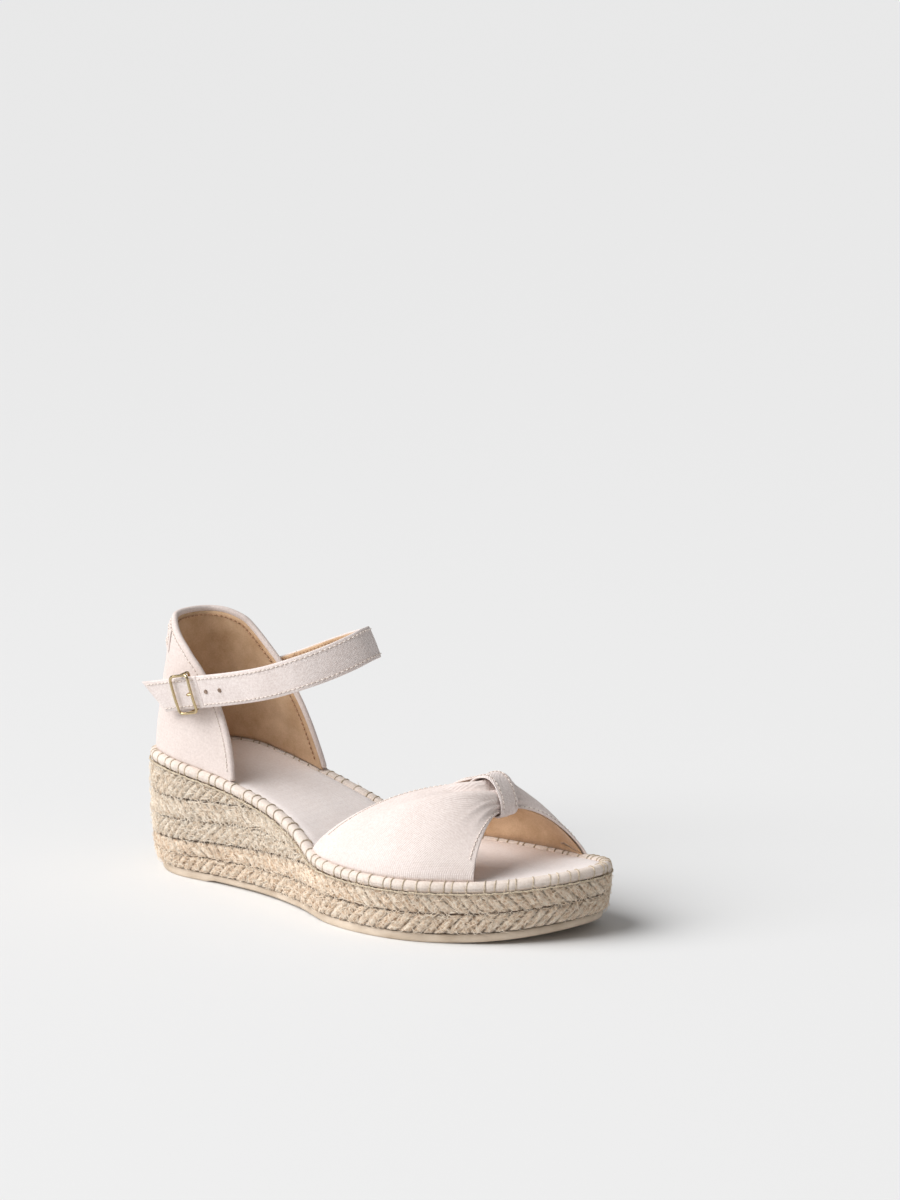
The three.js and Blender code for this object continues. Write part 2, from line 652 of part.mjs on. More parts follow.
// Centre bar: from the frame's top wire inward, down behind the strap and out again.
const barHalf = (BUCKLE_HEIGHT - BUCKLE_WIRE) / 2;
const legEnd = -BUCKLE_OUT + BUCKLE_WIRE / 2 + GAP;
const bend = 1.2;
const barPath = new THREE.CurvePath();
const barCorners = [[legEnd, barHalf], [BAR_IN, barHalf], [BAR_IN, -barHalf], [legEnd, -barHalf]];
const barPoint = ([y, z]) => new THREE.Vector3(0, y, z);
barPath.add(new THREE.LineCurve3(barPoint(barCorners[0]), barPoint([BAR_IN - bend, barHalf])));
barPath.add(new THREE.QuadraticBezierCurve3(barPoint([BAR_IN - bend, barHalf]),
  barPoint(barCorners[1]), barPoint([BAR_IN, barHalf - bend])));
barPath.add(new THREE.LineCurve3(barPoint([BAR_IN, barHalf - bend]),
  barPoint([BAR_IN, bend - barHalf])));
barPath.add(new THREE.QuadraticBezierCurve3(barPoint([BAR_IN, bend - barHalf]),
  barPoint(barCorners[2]), barPoint([BAR_IN - bend, -barHalf])));
barPath.add(new THREE.LineCurve3(barPoint([BAR_IN - bend, -barHalf]), barPoint(barCorners[3])));
const wire = new THREE.Shape();
wire.absarc(0, 0, BAR_RADIUS, 0, 2 * Math.PI);
add('buckle_bar', new THREE.ExtrudeGeometry(wire, {
  extrudePath: barPath, steps: 26, curveSegments: 5,
}), BRASS_COLOUR, 0.3, 1, buckleGroup);

// Prong: an eye that turns on the centre bar, and a bent tongue through the strap's slot
// whose tip rests on the front wire of the frame.
const PRONG_WIDTH = 1.6;
const prongTip = -BUCKLE_OUT - BUCKLE_WIRE / 2 - 0.25;
const frontWire = BUCKLE_WIDTH / 2 - BUCKLE_WIRE;
const prongShape = new THREE.Shape();
prongShape.absarc(0, BAR_IN, EYE_RADIUS, -0.35, 1.4 * Math.PI, false);
prongShape.lineTo(frontWire - 1.8, -2.6);
prongShape.lineTo(frontWire - 1.8, prongTip - 0.1);
prongShape.lineTo(frontWire - 1, prongTip - 0.9);
prongShape.lineTo(frontWire + 1.8, prongTip - 0.9);
prongShape.lineTo(frontWire + 1.9, prongTip);
prongShape.lineTo(frontWire - 0.4, prongTip);
prongShape.lineTo(frontWire - 0.4, -2.6);
const eye = new THREE.Path();
eye.absarc(0, BAR_IN, EYE_BORE, 0, 2 * Math.PI, true);
prongShape.holes.push(eye);
const prongGeometry = new THREE.ExtrudeGeometry(prongShape, {
  depth: PRONG_WIDTH, bevelEnabled: false, curveSegments: 12,
});
prongGeometry.translate(0, 0, -PRONG_WIDTH / 2);
add('buckle_prong', prongGeometry, BRASS_COLOUR, 0.3, 1, buckleGroup);

// Canvas tab that loops round the centre bar and runs back along the counter, with a
// notch for the prong's eye.
const TAB_TAIL = { x: -15, near: 2.7, far: 4.2 };
const tabShape = new THREE.Shape();
tabShape.absarc(0, BAR_IN, EYE_RADIUS, -Math.PI / 2, Math.PI / 2, false);
tabShape.lineTo(TAB_TAIL.x, TAB_TAIL.far);
tabShape.lineTo(TAB_TAIL.x, TAB_TAIL.near);
const tabBore = new THREE.Path();
tabBore.absarc(0, BAR_IN, EYE_BORE, 0, 2 * Math.PI, true);
tabShape.holes.push(tabBore);
const lug = (TAB_WIDTH - PRONG_WIDTH) / 2 - 2 * GAP;
const tabSolid = new THREE.ExtrudeGeometry(tabShape, {
  depth: TAB_WIDTH, bevelEnabled: false, curveSegments: 10,
});
tabSolid.translate(0, 0, -TAB_WIDTH / 2);
const notch = cutterBox([-3.2, 3], [BAR_IN - 4, BAR_IN + 4],
  [-TAB_WIDTH / 2 + lug, TAB_WIDTH / 2 - lug], new THREE.Matrix4());
add('buckle_tab', cut(welded(tabSolid), notch), CANVAS_COLOUR, 0.9, 0, buckleGroup);

// The same solid with its shared corners merged, as a boolean cut needs.
function welded(geometry) {
  const bare = geometry.clone();
  const seen = new Map();
  const points = [];
  const order = [];
  const position = bare.attributes.position;
  for (let i = 0; i < position.count; i += 1) {
    const p = new THREE.Vector3().fromBufferAttribute(position, i);
    const key = p.toArray().map((x) => Math.round(x * 1e4)).join();
    if (!seen.has(key)) {
      seen.set(key, points.length);
      points.push(p);
    }
    order.push(seen.get(key));
  }
  const index = bare.index ? [...bare.index.array].map((i) => order[i]) : order;
  const triangles = [];
  for (let i = 0; i < index.length; i += 3) triangles.push(index.slice(i, i + 3));
  return body(points, triangles);
}

export default shoe;
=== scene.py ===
"""Wedge sandal: soft canvas uppers, braided jute, blanket-stitched rim and a small gold buckle.

Shapes are worked out in millimetres along the shoe (stations, from the back of the heel)
and put into the row frame in metres by skin().
"""

import math

import bpy
import numpy as np
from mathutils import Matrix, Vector


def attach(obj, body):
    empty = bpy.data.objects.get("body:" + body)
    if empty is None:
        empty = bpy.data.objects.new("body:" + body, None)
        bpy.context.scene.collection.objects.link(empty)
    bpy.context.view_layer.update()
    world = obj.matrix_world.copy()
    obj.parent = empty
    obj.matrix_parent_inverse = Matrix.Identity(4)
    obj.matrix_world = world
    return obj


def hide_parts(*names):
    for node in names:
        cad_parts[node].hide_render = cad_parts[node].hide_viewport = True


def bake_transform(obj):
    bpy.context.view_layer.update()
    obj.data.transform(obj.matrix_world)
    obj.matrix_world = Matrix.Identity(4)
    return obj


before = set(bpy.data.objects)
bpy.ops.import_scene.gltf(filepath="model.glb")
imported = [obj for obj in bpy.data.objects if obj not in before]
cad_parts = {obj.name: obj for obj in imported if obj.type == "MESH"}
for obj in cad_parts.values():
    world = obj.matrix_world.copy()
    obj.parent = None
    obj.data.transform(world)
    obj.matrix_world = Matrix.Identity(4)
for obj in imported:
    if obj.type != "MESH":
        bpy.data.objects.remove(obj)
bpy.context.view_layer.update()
rng = np.random.default_rng(7)

# ---------- the shoe's own lines, in millimetres ----------

HEEL_SEAT = 30
SOLE_LENGTH = 250
RIM_HEIGHT = 5
RIM_WIDTH = 4.8
UPPER_INSET = 2.2
STRAP_WIDTH = 15.4
STRAP_THICKNESS = 2.9
STITCH_PITCH = 5.75
PATCH_HEIGHT = 10
LOOP_HALF = 5.9
# The rolled rim's section: its middle's inset and its depth below the rim's top, and its half width.
RIM_INSET = 2.55
RIM_SINK = 2.45
RIM_REACH = 2.75


def spline(points, closed=False, per=24):
    """Uniform Catmull-Rom line: each span is a cubic whose end slopes are half the chord between
    its neighbours."""
    p = np.asarray(points, float)
    if closed:
        p = np.concatenate([p[-1:], p, p[:2]])
    else:
        p = np.concatenate([2 * p[:1] - p[1:2], p, 2 * p[-1:] - p[-2:-1]])
    a, b, c, d = (p[k:len(p) - 3 + k, None] for k in range(4))
    t = np.linspace(0, 1, per, endpoint=False)[None, :, None]
    line = b + (c - a) * t / 2 + (2 * a - 5 * b + 4 * c - d) * t**2 / 2 + (3 * b - a - 3 * c + d) * t**3 / 2
    return np.concatenate([line.reshape(-1, p.shape[1]), p[-2:-1]])


def lengths(line):
    """Distance along a line of points at each of its points."""
    return np.concatenate([[0], np.cumsum(np.linalg.norm(np.diff(line, axis=0), axis=1))])


def at(line, distance):
    """Points of a line at the given distances along it."""
    total = lengths(line)
    return np.stack([np.interp(distance, total, line[:, k]) for k in range(line.shape[1])], -1)


def profile(points):
    """Height as a smooth function of station, through [station, height] points."""
    line = spline(points)
    return lambda s: np.interp(s, line[:, 0], line[:, 1])


OUTLINE = spline([
    [-1, 0], [6, -20.5], [28, -31], [58, -31.5], [86, -34], [112, -41], [136, -51],
    [160, -54.5], [184, -51.5], [206, -41], [226, -26.5], [241, -8], [246.5, 12],
    [237, 28], [214, 37], [188, 40], [160, 37.5], [132, 30.5], [104, 26.5], [76, 27.5],
    [50, 30.5], [28, 31], [6, 20.5],
], closed=True)
ROUND = lengths(OUTLINE)[-1]
TIP = at(OUTLINE, np.linspace(0, ROUND, 4001))[:, 0].argmax() / 4000

rim_top = profile([[0, 56], [25, 55], [50, 51.7], [75, 47.2], [100, 41], [115, 35.3],
                   [127, 29.8], [141, 28.2], [165, 27.4], [195, 27.4], [222, 28.6], [250, 32.5]])
sole_braid_line = profile([[0, 15.6], [60, 19.3], [125, 23.2], [150, 22.5], [195, 22.1],
                           [222, 23.3], [250, 27.2]])
counter_top_outer = profile([[0, 119], [6, 118], [12, 115], [18, 111.5], [32, 103.5], [42, 95.5],
                             [52, 82], [58, 71], [62, 60], [64, 50]])
counter_top_inner = profile([[0, 119], [18, 117.5], [34, 110.5], [49, 97.5], [60, 82],
                             [67, 69], [72, 57], [75, 48]])


def toe_spring(s):
    return 6 * np.maximum(0, (s - 190) / 60) ** 2


def rim_low(s):
    return rim_top(s) - RIM_HEIGHT - 0.3


def sole_braid_top(s):
    return np.minimum(sole_braid_line(s), rim_low(s))


def wedge_braid_top(s):
    return np.minimum(sole_braid_top(s) + 19.5, rim_low(s))


def edge(u, inset, z):
    """Point at share u of the outline, moved in along the outline's normal by inset, at height z;
    the heel's back and the toe's tip slope in below 30 mm."""
    u, inset, z = np.broadcast_arrays(np.asarray(u, float), inset, z)
    d = (u % 1) * ROUND
    p = at(OUTLINE, d)
    t = at(OUTLINE, np.minimum(d + 0.4, ROUND)) - at(OUTLINE, np.maximum(d - 0.4, 0))
    t /= np.linalg.norm(t, axis=-1, keepdims=True)
    back = 8 * np.maximum(0, 1 - p[..., 0] / 40) ** 2
    front = 7 * np.maximum(0, 1 - (SOLE_LENGTH - p[..., 0]) / 40) ** 2
    low = np.maximum(0, 1 - z / 30) ** 2
    return np.stack([p[..., 0] - t[..., 1] * inset + (back - front) * low,
                     p[..., 1] + t[..., 0] * inset, z], -1)


def outward(u):
    """Level direction out of the shoe at share u of the outline."""
    return edge(u, -1, 60) - edge(u, 0, 60)


def share_at(station, side):
    """Share of the outline at a station, on the outer or the inner side."""
    u = np.linspace(0, 1, 4001)
    x = at(OUTLINE, u * ROUND)[:, 0]
    k = int(TIP * 4000)
    if side == "outer":
        return np.interp(station, x[:k + 1], u[:k + 1])
    return np.interp(station, x[k:][::-1], u[k:][::-1])


def station_of(u):
    return at(OUTLINE, (np.asarray(u) % 1) * ROUND)[..., 0]


# ---------- making pieces ----------

def skin(name, sections, material, body, slot, ring=False, uv=None, cover=(), **fields):
    """One piece from rows of sections: sections[body, row, point]. Each section is a loop of
    points, neighbouring sections are joined by quads, and open rows are closed by a ladder of
    quads across their first and last section. fields are numbers kept at each point."""
    s = np.asarray(sections, float)
    s = s[None] if s.ndim == 3 else s
    count, a, b, _ = s.shape
    i = np.arange(a if ring else a - 1)[:, None]
    j = np.arange(b)[None, :]
    k = (j + 1) % b
    m = (i + 1) % a
    corners = np.broadcast_arrays(i * b + j, i * b + k, m * b + k, m * b + j)
    quads = np.stack(corners, -1).reshape(-1, 4)
    if not ring:
        h = np.arange(b // 2 - 1)
        cap = np.stack([h, b - 1 - h, b - 2 - h, h + 1], -1)
        quads = np.concatenate([quads, cap, (a - 1) * b + cap[:, ::-1]])
    quads = (quads[None] + (np.arange(count) * a * b)[:, None, None]).reshape(-1, 4)
    points = s.reshape(-1, 3)
    p0, p1, p2, p3 = (points[quads[:, n]] for n in range(4))
    if np.einsum("ij,ij->", p0, np.cross(p1, p2) + np.cross(p2, p3)) < 0:
        quads = quads[:, ::-1]
    mesh = bpy.data.meshes.new(name)
    mesh.vertices.add(len(points))
    mesh.vertices.foreach_set("co", ((points - [HEEL_SEAT, 0, 0]) / 1000).ravel())
    mesh.loops.add(quads.size)
    mesh.loops.foreach_set("vertex_index", quads.ravel().astype(np.int32))
    mesh.polygons.add(len(quads))
    mesh.polygons.foreach_set("loop_start", np.arange(0, quads.size, 4, dtype=np.int32))
    mesh.polygons.foreach_set("use_smooth", np.ones(len(quads), bool))
    if uv is not None:
        layer = mesh.uv_layers.new(name="cloth")
        layer.data.foreach_set("uv", np.asarray(uv, float).reshape(-1, 2)[quads.ravel()].ravel())
    for field, values in fields.items():
        store = mesh.attributes.new(field, "FLOAT", "POINT")
        every = np.broadcast_to(values, s.shape[:3])
        store.data.foreach_set("value", every.astype(np.float32).ravel())
    mesh.update(calc_edges=True)
    mesh.validate()
    piece = bpy.data.objects.new(name, mesh)
    bpy.context.scene.collection.objects.link(piece)
    mesh.materials.append(material)
    if body:
        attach(piece, body)
    if cover:
        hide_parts(*cover)
    return piece


def signed_power(c, exponent):
    return np.sign(c) * np.abs(c) ** exponent


def unit(v):
    return v / np.maximum(np.linalg.norm(v, axis=-1, keepdims=True), 1e-9)


def normals(grid, towards):
    """Normals of a grid of points: the cross product of its two slopes, turned to agree with towards."""
    n = unit(np.cross(np.gradient(grid, axis=0), np.gradient(grid, axis=1)))
    return n * np.where((n * towards).sum(-1, keepdims=True) < 0, -1, 1)


def run(grid, axis):
    """Distance along one axis of a grid, at each of its points."""
    step = np.linalg.norm(np.diff(grid, axis=axis), axis=-1)
    total = np.cumsum(step, axis=axis)
    pad = [(0, 0), (0, 0)]
    pad[axis] = (1, 0)
    return np.pad(total, pad)


def cloth(name, middle, thickness, material, body, slot, towards, edge_radius=0.5, **options):
    """A sheet of cloth about its middle surface: both faces lie half the thickness away along the
    normal, and the thickness falls off as a quarter circle at all four edges."""
    n = normals(middle, towards)
    along, across = run(middle, 0), run(middle, 1)
    reach = np.minimum(np.minimum(along, along[-1:] - along), np.minimum(across, across[:, -1:] - across))
    fall = np.sqrt(1 - (1 - np.clip(reach / edge_radius, 0, 1)) ** 2)
    half = (thickness / 2 * fall + 0.02)[..., None]
    loop = np.concatenate([middle + n * half, (middle - n * half)[:, ::-1]], axis=1)
    uv = np.stack([along, across], -1)
    uv = np.concatenate([uv, uv[:, ::-1]], axis=1)
    return skin(name, loop, material, body, slot, uv=uv, **options)


def shares(count, length, radius=0.5):
    """Shares of a length, evenly spread but crowded within radius of both ends."""
    near = np.array([0, 0.04, 0.15, 0.4]) * radius / length
    middle = np.linspace(radius / length, 1 - radius / length, count)
    return np.concatenate([near, middle, 1 - near[::-1]])


def tubes(paths, up, radius, sides=6):
    """Sections of round threads along paths[body, row]: circles square to the path, whose radius
    may change from row to row."""
    t = unit(np.gradient(paths, axis=1))
    side = unit(np.cross(t, np.broadcast_to(up, paths.shape)))
    top = np.cross(side, t)
    a = np.linspace(0, 2 * np.pi, sides, endpoint=False)[None, None, :, None]
    r = np.broadcast_to(radius, paths.shape[:2])[:, :, None, None]
    return paths[:, :, None] + r * (np.cos(a) * top[:, :, None] + np.sin(a) * side[:, :, None])


def stitch_row(name, line, up, pitch, length, radius, material, body, slot, lift=0.15, shift=0.5):
    """Running stitches along a line: short threads that rise from the cloth as a parabola and end in it."""
    total = lengths(line)
    centres = np.arange(pitch * shift, total[-1] - length / 2, pitch)
    t = np.linspace(-1, 1, 6)
    where = centres[:, None] + t[None] * length / 2
    paths = at(line, np.clip(where, 0, total[-1]))
    ups = unit(np.stack([np.interp(where, total, up[:, k]) for k in range(3)], -1))
    paths = paths + ups * (lift * (1 - t[None] ** 2) * 1.6 - lift * 0.6)[..., None]
    fat = radius * np.sqrt(1 - 0.97 * t**4)
    return skin(name, tubes(paths, ups, fat[None]), material, body, slot)


def sewn_line(name, line, up, body, pitch=2.4, radius=0.27):
    """A row of topstitches with painted shade between them: small dark dashes for the needle holes that the
    thread pulls open.
    """
    stitches = stitch_row(name, line, up, pitch, pitch * 0.7, radius, CREAM_THREAD, body, "thread", lift=0.26)
    # Painted shade: short dark threads between the stitches stand in for the shade in the needle holes.
    holes = stitch_row(f"{name}_painted_needle_hole_shade", line, up, pitch, pitch * 0.34, 0.19, NEEDLE_HOLE, body,
                       "thread", lift=0.02, shift=1.0)
    return [stitches, holes]


# ---------- materials ----------

def linear(colour):
    """sRGB hex colour as linear red, green, blue, alpha."""
    channels = [int(colour[k:k + 2], 16) / 255 for k in (1, 3, 5)]
    return [c / 12.92 if c <= 0.04045 else ((c + 0.055) / 1.055) ** 2.4 for c in channels] + [1]


def add(tree, kind, sockets=None, **settings):
    """Adds a node, sets its settings, and sets or links its input sockets."""
    node = tree.nodes.new(kind)
    for key, value in settings.items():
        setattr(node, key, value)
    for key, value in (sockets or {}).items():
        if isinstance(value, bpy.types.NodeSocket):
            tree.links.new(value, node.inputs[key])
        else:
            node.inputs[key].default_value = value
    return node


def finish_of(name, **constants):
    """A new material with a plain Principled surface; constants are its fixed sockets."""
    material = bpy.data.materials.new(name)
    material.use_nodes = True
    surface = material.node_tree.nodes["Principled BSDF"]
    for key, value in constants.items():
        surface.inputs[key.replace("_", " ")].default_value = value
    return material, material.node_tree, surface


def place_in(tree):
    """Position on the piece."""
    return add(tree, "ShaderNodeTexCoord").outputs["Object"]


def noise(tree, where, scale, detail, roughness=0.5):
    sockets = {"Vector": where, "Scale": scale, "Detail": detail, "Roughness": roughness}
    return add(tree, "ShaderNodeTexNoise", sockets).outputs[0]


def scaled(tree, value, factor, plus=0.0):
    """value * factor + plus."""
    return add(tree, "ShaderNodeMath", {0: value, 1: factor, 2: plus}, operation="MULTIPLY_ADD").outputs[0]


def sine(tree, value):
    return add(tree, "ShaderNodeMath", {0: value}, operation="SINE").outputs[0]


def blend_colours(tree, share, first, second):
    return add(tree, "ShaderNodeMix", {0: share, 6: first, 7: second}, data_type="RGBA").outputs[2]


def two_tones(tree, level, low, high, deep, pale):
    """Colour from deep where the level is low to pale where it is high."""
    share = add(tree, "ShaderNodeMapRange", {0: level, 1: low, 2: high}).outputs[0]
    return blend_colours(tree, share, linear(deep), linear(pale))


def dress(material, colour, height, strength, distance):
    """Gives a material its colour, and a bump of the given depth in metres."""
    tree = material.node_tree
    surface = tree.nodes["Principled BSDF"]
    sockets = {"Height": height, "Strength": strength, "Distance": distance}
    bump = add(tree, "ShaderNodeBump", sockets).outputs[0]
    tree.links.new(colour, surface.inputs["Base Color"])
    tree.links.new(bump, surface.inputs["Normal"])
    return material


def woven_cotton(name, pale, deep, pitch, slope, depth):
    """Cotton canvas in a twill weave, drawn a little coarser than its 0.5 mm thread so that it shows:
    raised ribs that lean by slope, broken by the crossing thread, with faint slubs and a matt bloom."""
    material, tree, _ = finish_of(name, Roughness=0.92, Sheen_Weight=0.06, Sheen_Roughness=0.5, IOR=1.4)
    cloth_map = add(tree, "ShaderNodeUVMap", uv_map="cloth").outputs[0]
    part = add(tree, "ShaderNodeSeparateXYZ", {0: cloth_map})
    x, y = part.outputs[0], part.outputs[1]
    warp = sine(tree, scaled(tree, scaled(tree, x, slope, y), 2 * math.pi / pitch))
    weft = sine(tree, scaled(tree, x, 2.6 * math.pi / pitch))
    crossing = scaled(tree, weft, 0.35, warp)
    stretch = {0: cloth_map, 1: (0.12, 1.6, 1)}
    stretched = add(tree, "ShaderNodeVectorMath", stretch, operation="MULTIPLY").outputs[0]
    slub = noise(tree, stretched, 1.0, 3, 0.6)
    place = place_in(tree)
    cloud = noise(tree, place, 45, 4, 0.6)
    speck = noise(tree, place, 900, 2, 0.7)
    tone = scaled(tree, cloud, 0.5, scaled(tree, slub, 0.45))
    tone = scaled(tree, speck, 0.9, scaled(tree, crossing, 0.1, tone))
    colour = two_tones(tree, tone, 0.6, 1.2, deep, pale)
    return dress(material, colour, scaled(tree, slub, 1.2, crossing), 0.55, depth)


def microsuede(name, pale, deep):
    """Tan microsuede lining: very short brushed nap, so it is matt, with soft darker patches where the
    nap lies the other way and a faint grain."""
    material, tree, _ = finish_of(name, Roughness=0.88, Sheen_Weight=0.35, Sheen_Roughness=0.4)
    place = place_in(tree)
    tone = scaled(tree, noise(tree, place, 1500, 2), 0.3, noise(tree, place, 60, 5, 0.6))
    return dress(material, two_tones(tree, tone, 0.45, 0.85, deep, pale), tone, 0.3, 0.0002)


def jute_fibre(name, pale, middle, deep, hollow):
    """Twisted jute: long pale and brown fibres that follow each strand, dull where they fray, and with
    painted
    shade: the colour turns dark in the gaps between the strands. The cloth map runs across and along the
    strand."""
    material, tree, _ = finish_of(name, Roughness=0.85, Sheen_Weight=0.15)
    strand = add(tree, "ShaderNodeUVMap", uv_map="cloth").outputs[0]
    fibres = add(tree, "ShaderNodeVectorMath", {0: strand, 1: (2.6, 0.3, 1)}, operation="MULTIPLY").outputs[0]
    streak = noise(tree, fibres, 1.0, 4, 0.65)
    fray = noise(tree, place_in(tree), 650, 3, 0.7)
    tone = add(tree, "ShaderNodeAttribute", attribute_name="tone").outputs["Fac"]
    mixed = scaled(tree, tone, 0.045, scaled(tree, fray, 0.75, streak))
    ramp = add(tree, "ShaderNodeValToRGB", {0: mixed})
    ends = ramp.color_ramp.elements
    ends[0].position, ends[0].color = 0.68, linear(deep)
    ends[1].position, ends[1].color = 1.0, linear(pale)
    ends.new(0.84).color = linear(middle)
    # Painted shade: the per-point gap field blends the fibre colour into the dark gap colour between the
    # strands.
    gap = add(tree, "ShaderNodeAttribute", attribute_name="hollow").outputs["Fac"]
    colour = blend_colours(tree, gap, ramp.outputs[0], linear(hollow))
    return dress(material, colour, mixed, 0.8, 0.0007)


def spun_thread(name, pale, deep):
    """Waxed sewing thread: a slight shine and an uneven, mottled colour."""
    material, tree, _ = finish_of(name, Roughness=0.7)
    mottle = noise(tree, place_in(tree), 1200, 2)
    return dress(material, two_tones(tree, mottle, 0.35, 0.65, deep, pale), mottle, 0.4, 0.0002)


def moulded_rubber(name, pale, deep):
    """Natural rubber sole, vulcanised in a mould: satin, slightly milky, with faint mould texture."""
    material, tree, _ = finish_of(name, Roughness=0.5, IOR=1.52)
    place = place_in(tree)
    colour = two_tones(tree, noise(tree, place, 70, 4), 0.35, 0.65, deep, pale)
    return dress(material, colour, noise(tree, place, 900, 2), 0.25, 0.0003)


def plated_steel(name, colour):
    """Steel wire with a pale gold plate, tumbled bright: sharp reflections over a very fine haze."""
    material, tree, surface = finish_of(name, Metallic=1.0)
    haze = noise(tree, place_in(tree), 800, 3)
    rough = add(tree, "ShaderNodeMapRange", {0: haze, 1: 0.3, 2: 0.7, 3: 0.1, 4: 0.22}).outputs[0]
    surface.inputs["Base Color"].default_value = linear(colour)
    tree.links.new(rough, surface.inputs["Roughness"])
    return material


CANVAS = woven_cotton("cotton_canvas_fine_twill", "#F3E7E2", "#DDCEC7",
                      pitch=0.95, slope=0.35, depth=0.0001)
PLAIN_CANVAS = woven_cotton("cotton_canvas_plain_weave", "#EEE1DB", "#D8C9C2",
                            pitch=0.7, slope=1.0, depth=0.00007)
# Same plain weave as the counter canvas, painted paler: painted light that makes up for the shade the counter
# and the strap cast on the footbed.
SOCK_CANVAS_PAINTED_LIGHT = woven_cotton("cotton_canvas_footbed_painted_light", "#FFF7F4", "#EEE2DD",
                           pitch=0.7, slope=1.0, depth=0.00007)
BAND_CANVAS = woven_cotton("cotton_canvas_twill_bias_cut", "#FAF0EC", "#DCCDC7",
                           pitch=0.9, slope=1.0, depth=0.00013)
RIM_CANVAS = woven_cotton("cotton_canvas_rolled_rim", "#F8ECE3", "#DFCEC0",
                          pitch=0.7, slope=1.0, depth=0.0001)
LINING = microsuede("microsuede_tan_brushed", "#DEBD9A", "#B9946F")
# The last colour of each jute is painted shade, laid into the gaps between the strands.
SOLE_JUTE = jute_fibre("jute_braid_warm", "#FFF3E2", "#F5DFC6", "#C6A07B", "#573D28")
WEDGE_JUTE = jute_fibre("jute_braid_grey", "#FFF6E8", "#F2E0CA", "#C4A98B", "#5F4832")
LINEN = spun_thread("linen_thread_waxed", "#D9CAB2", "#AE9C84")
# Painted shade for the punched strap holes: the dark colour stands in for the shade inside each hole.
HOLE_SHADE = spun_thread("punched_hole_painted_shade", "#A08A7A", "#6E5A4B")
NEEDLE_HOLE = spun_thread("needle_hole_shade", "#C4B1A4", "#9F8B7D")
CREAM_THREAD = spun_thread("cotton_topstitch_cream", "#FBF3EC", "#E3D5C9")
TAN_THREAD = spun_thread("cotton_topstitch_tan", "#C79C7C", "#A07A5A")
RUBBER = moulded_rubber("natural_rubber_moulded", "#DCCBB7", "#C3B09A")
GOLD = plated_steel("steel_wire_pale_gold_plate", "#CDB890")
FIBRE_BOARD = moulded_rubber("pressed_fibre_board", "#9C8A70", "#85745C")

# CAD nodes that stay, all hidden inside the sole and the uppers.
for node in ("insole_board", "counter_stiffener", "strap_tape"):
    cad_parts[node].data.materials.clear()
    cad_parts[node].data.materials.append(FIBRE_BOARD)

# ---------- sole ----------

def tread(s):
    """Height of the tread: the heel pad and the ball touch the ground, the waist is 0.9 mm off it."""
    ease = lambda t: np.clip(t, 0, 1) ** 2 * (3 - 2 * np.clip(t, 0, 1))
    return 0.9 * ease((s - 50) / 1.5) * (1 - ease((s - 120) / 25)) + toe_spring(s)


def outsole():
    """The moulded plate: rings round the outline, each an inset and a height, joined one above the
    other; the first and the last ring are closed straight across the shoe."""
    half = 110
    s = station_of(TIP) / 2 * (1 - np.cos(np.pi * np.arange(1, half) / half))
    u = np.concatenate([share_at(s, "outer"), [TIP], share_at(s, "inner")[::-1], [0]])
    s = station_of(u)
    low, spring = tread(s), toe_spring(s)
    rows = [(3.2, low), (2.0, low + 0.15), (1.6, low + 0.7), (1.5, low * 0.4 + (2.4 + spring) * 0.6),
            (1.7, 3.7 + spring), (2.4, 4.0 + spring)]
    rings = np.stack([edge(u, inset, height) for inset, height in rows])
    skin("outsole_rubber", rings, RUBBER, "sole", "rubber", cover=("outsole",))


outsole()


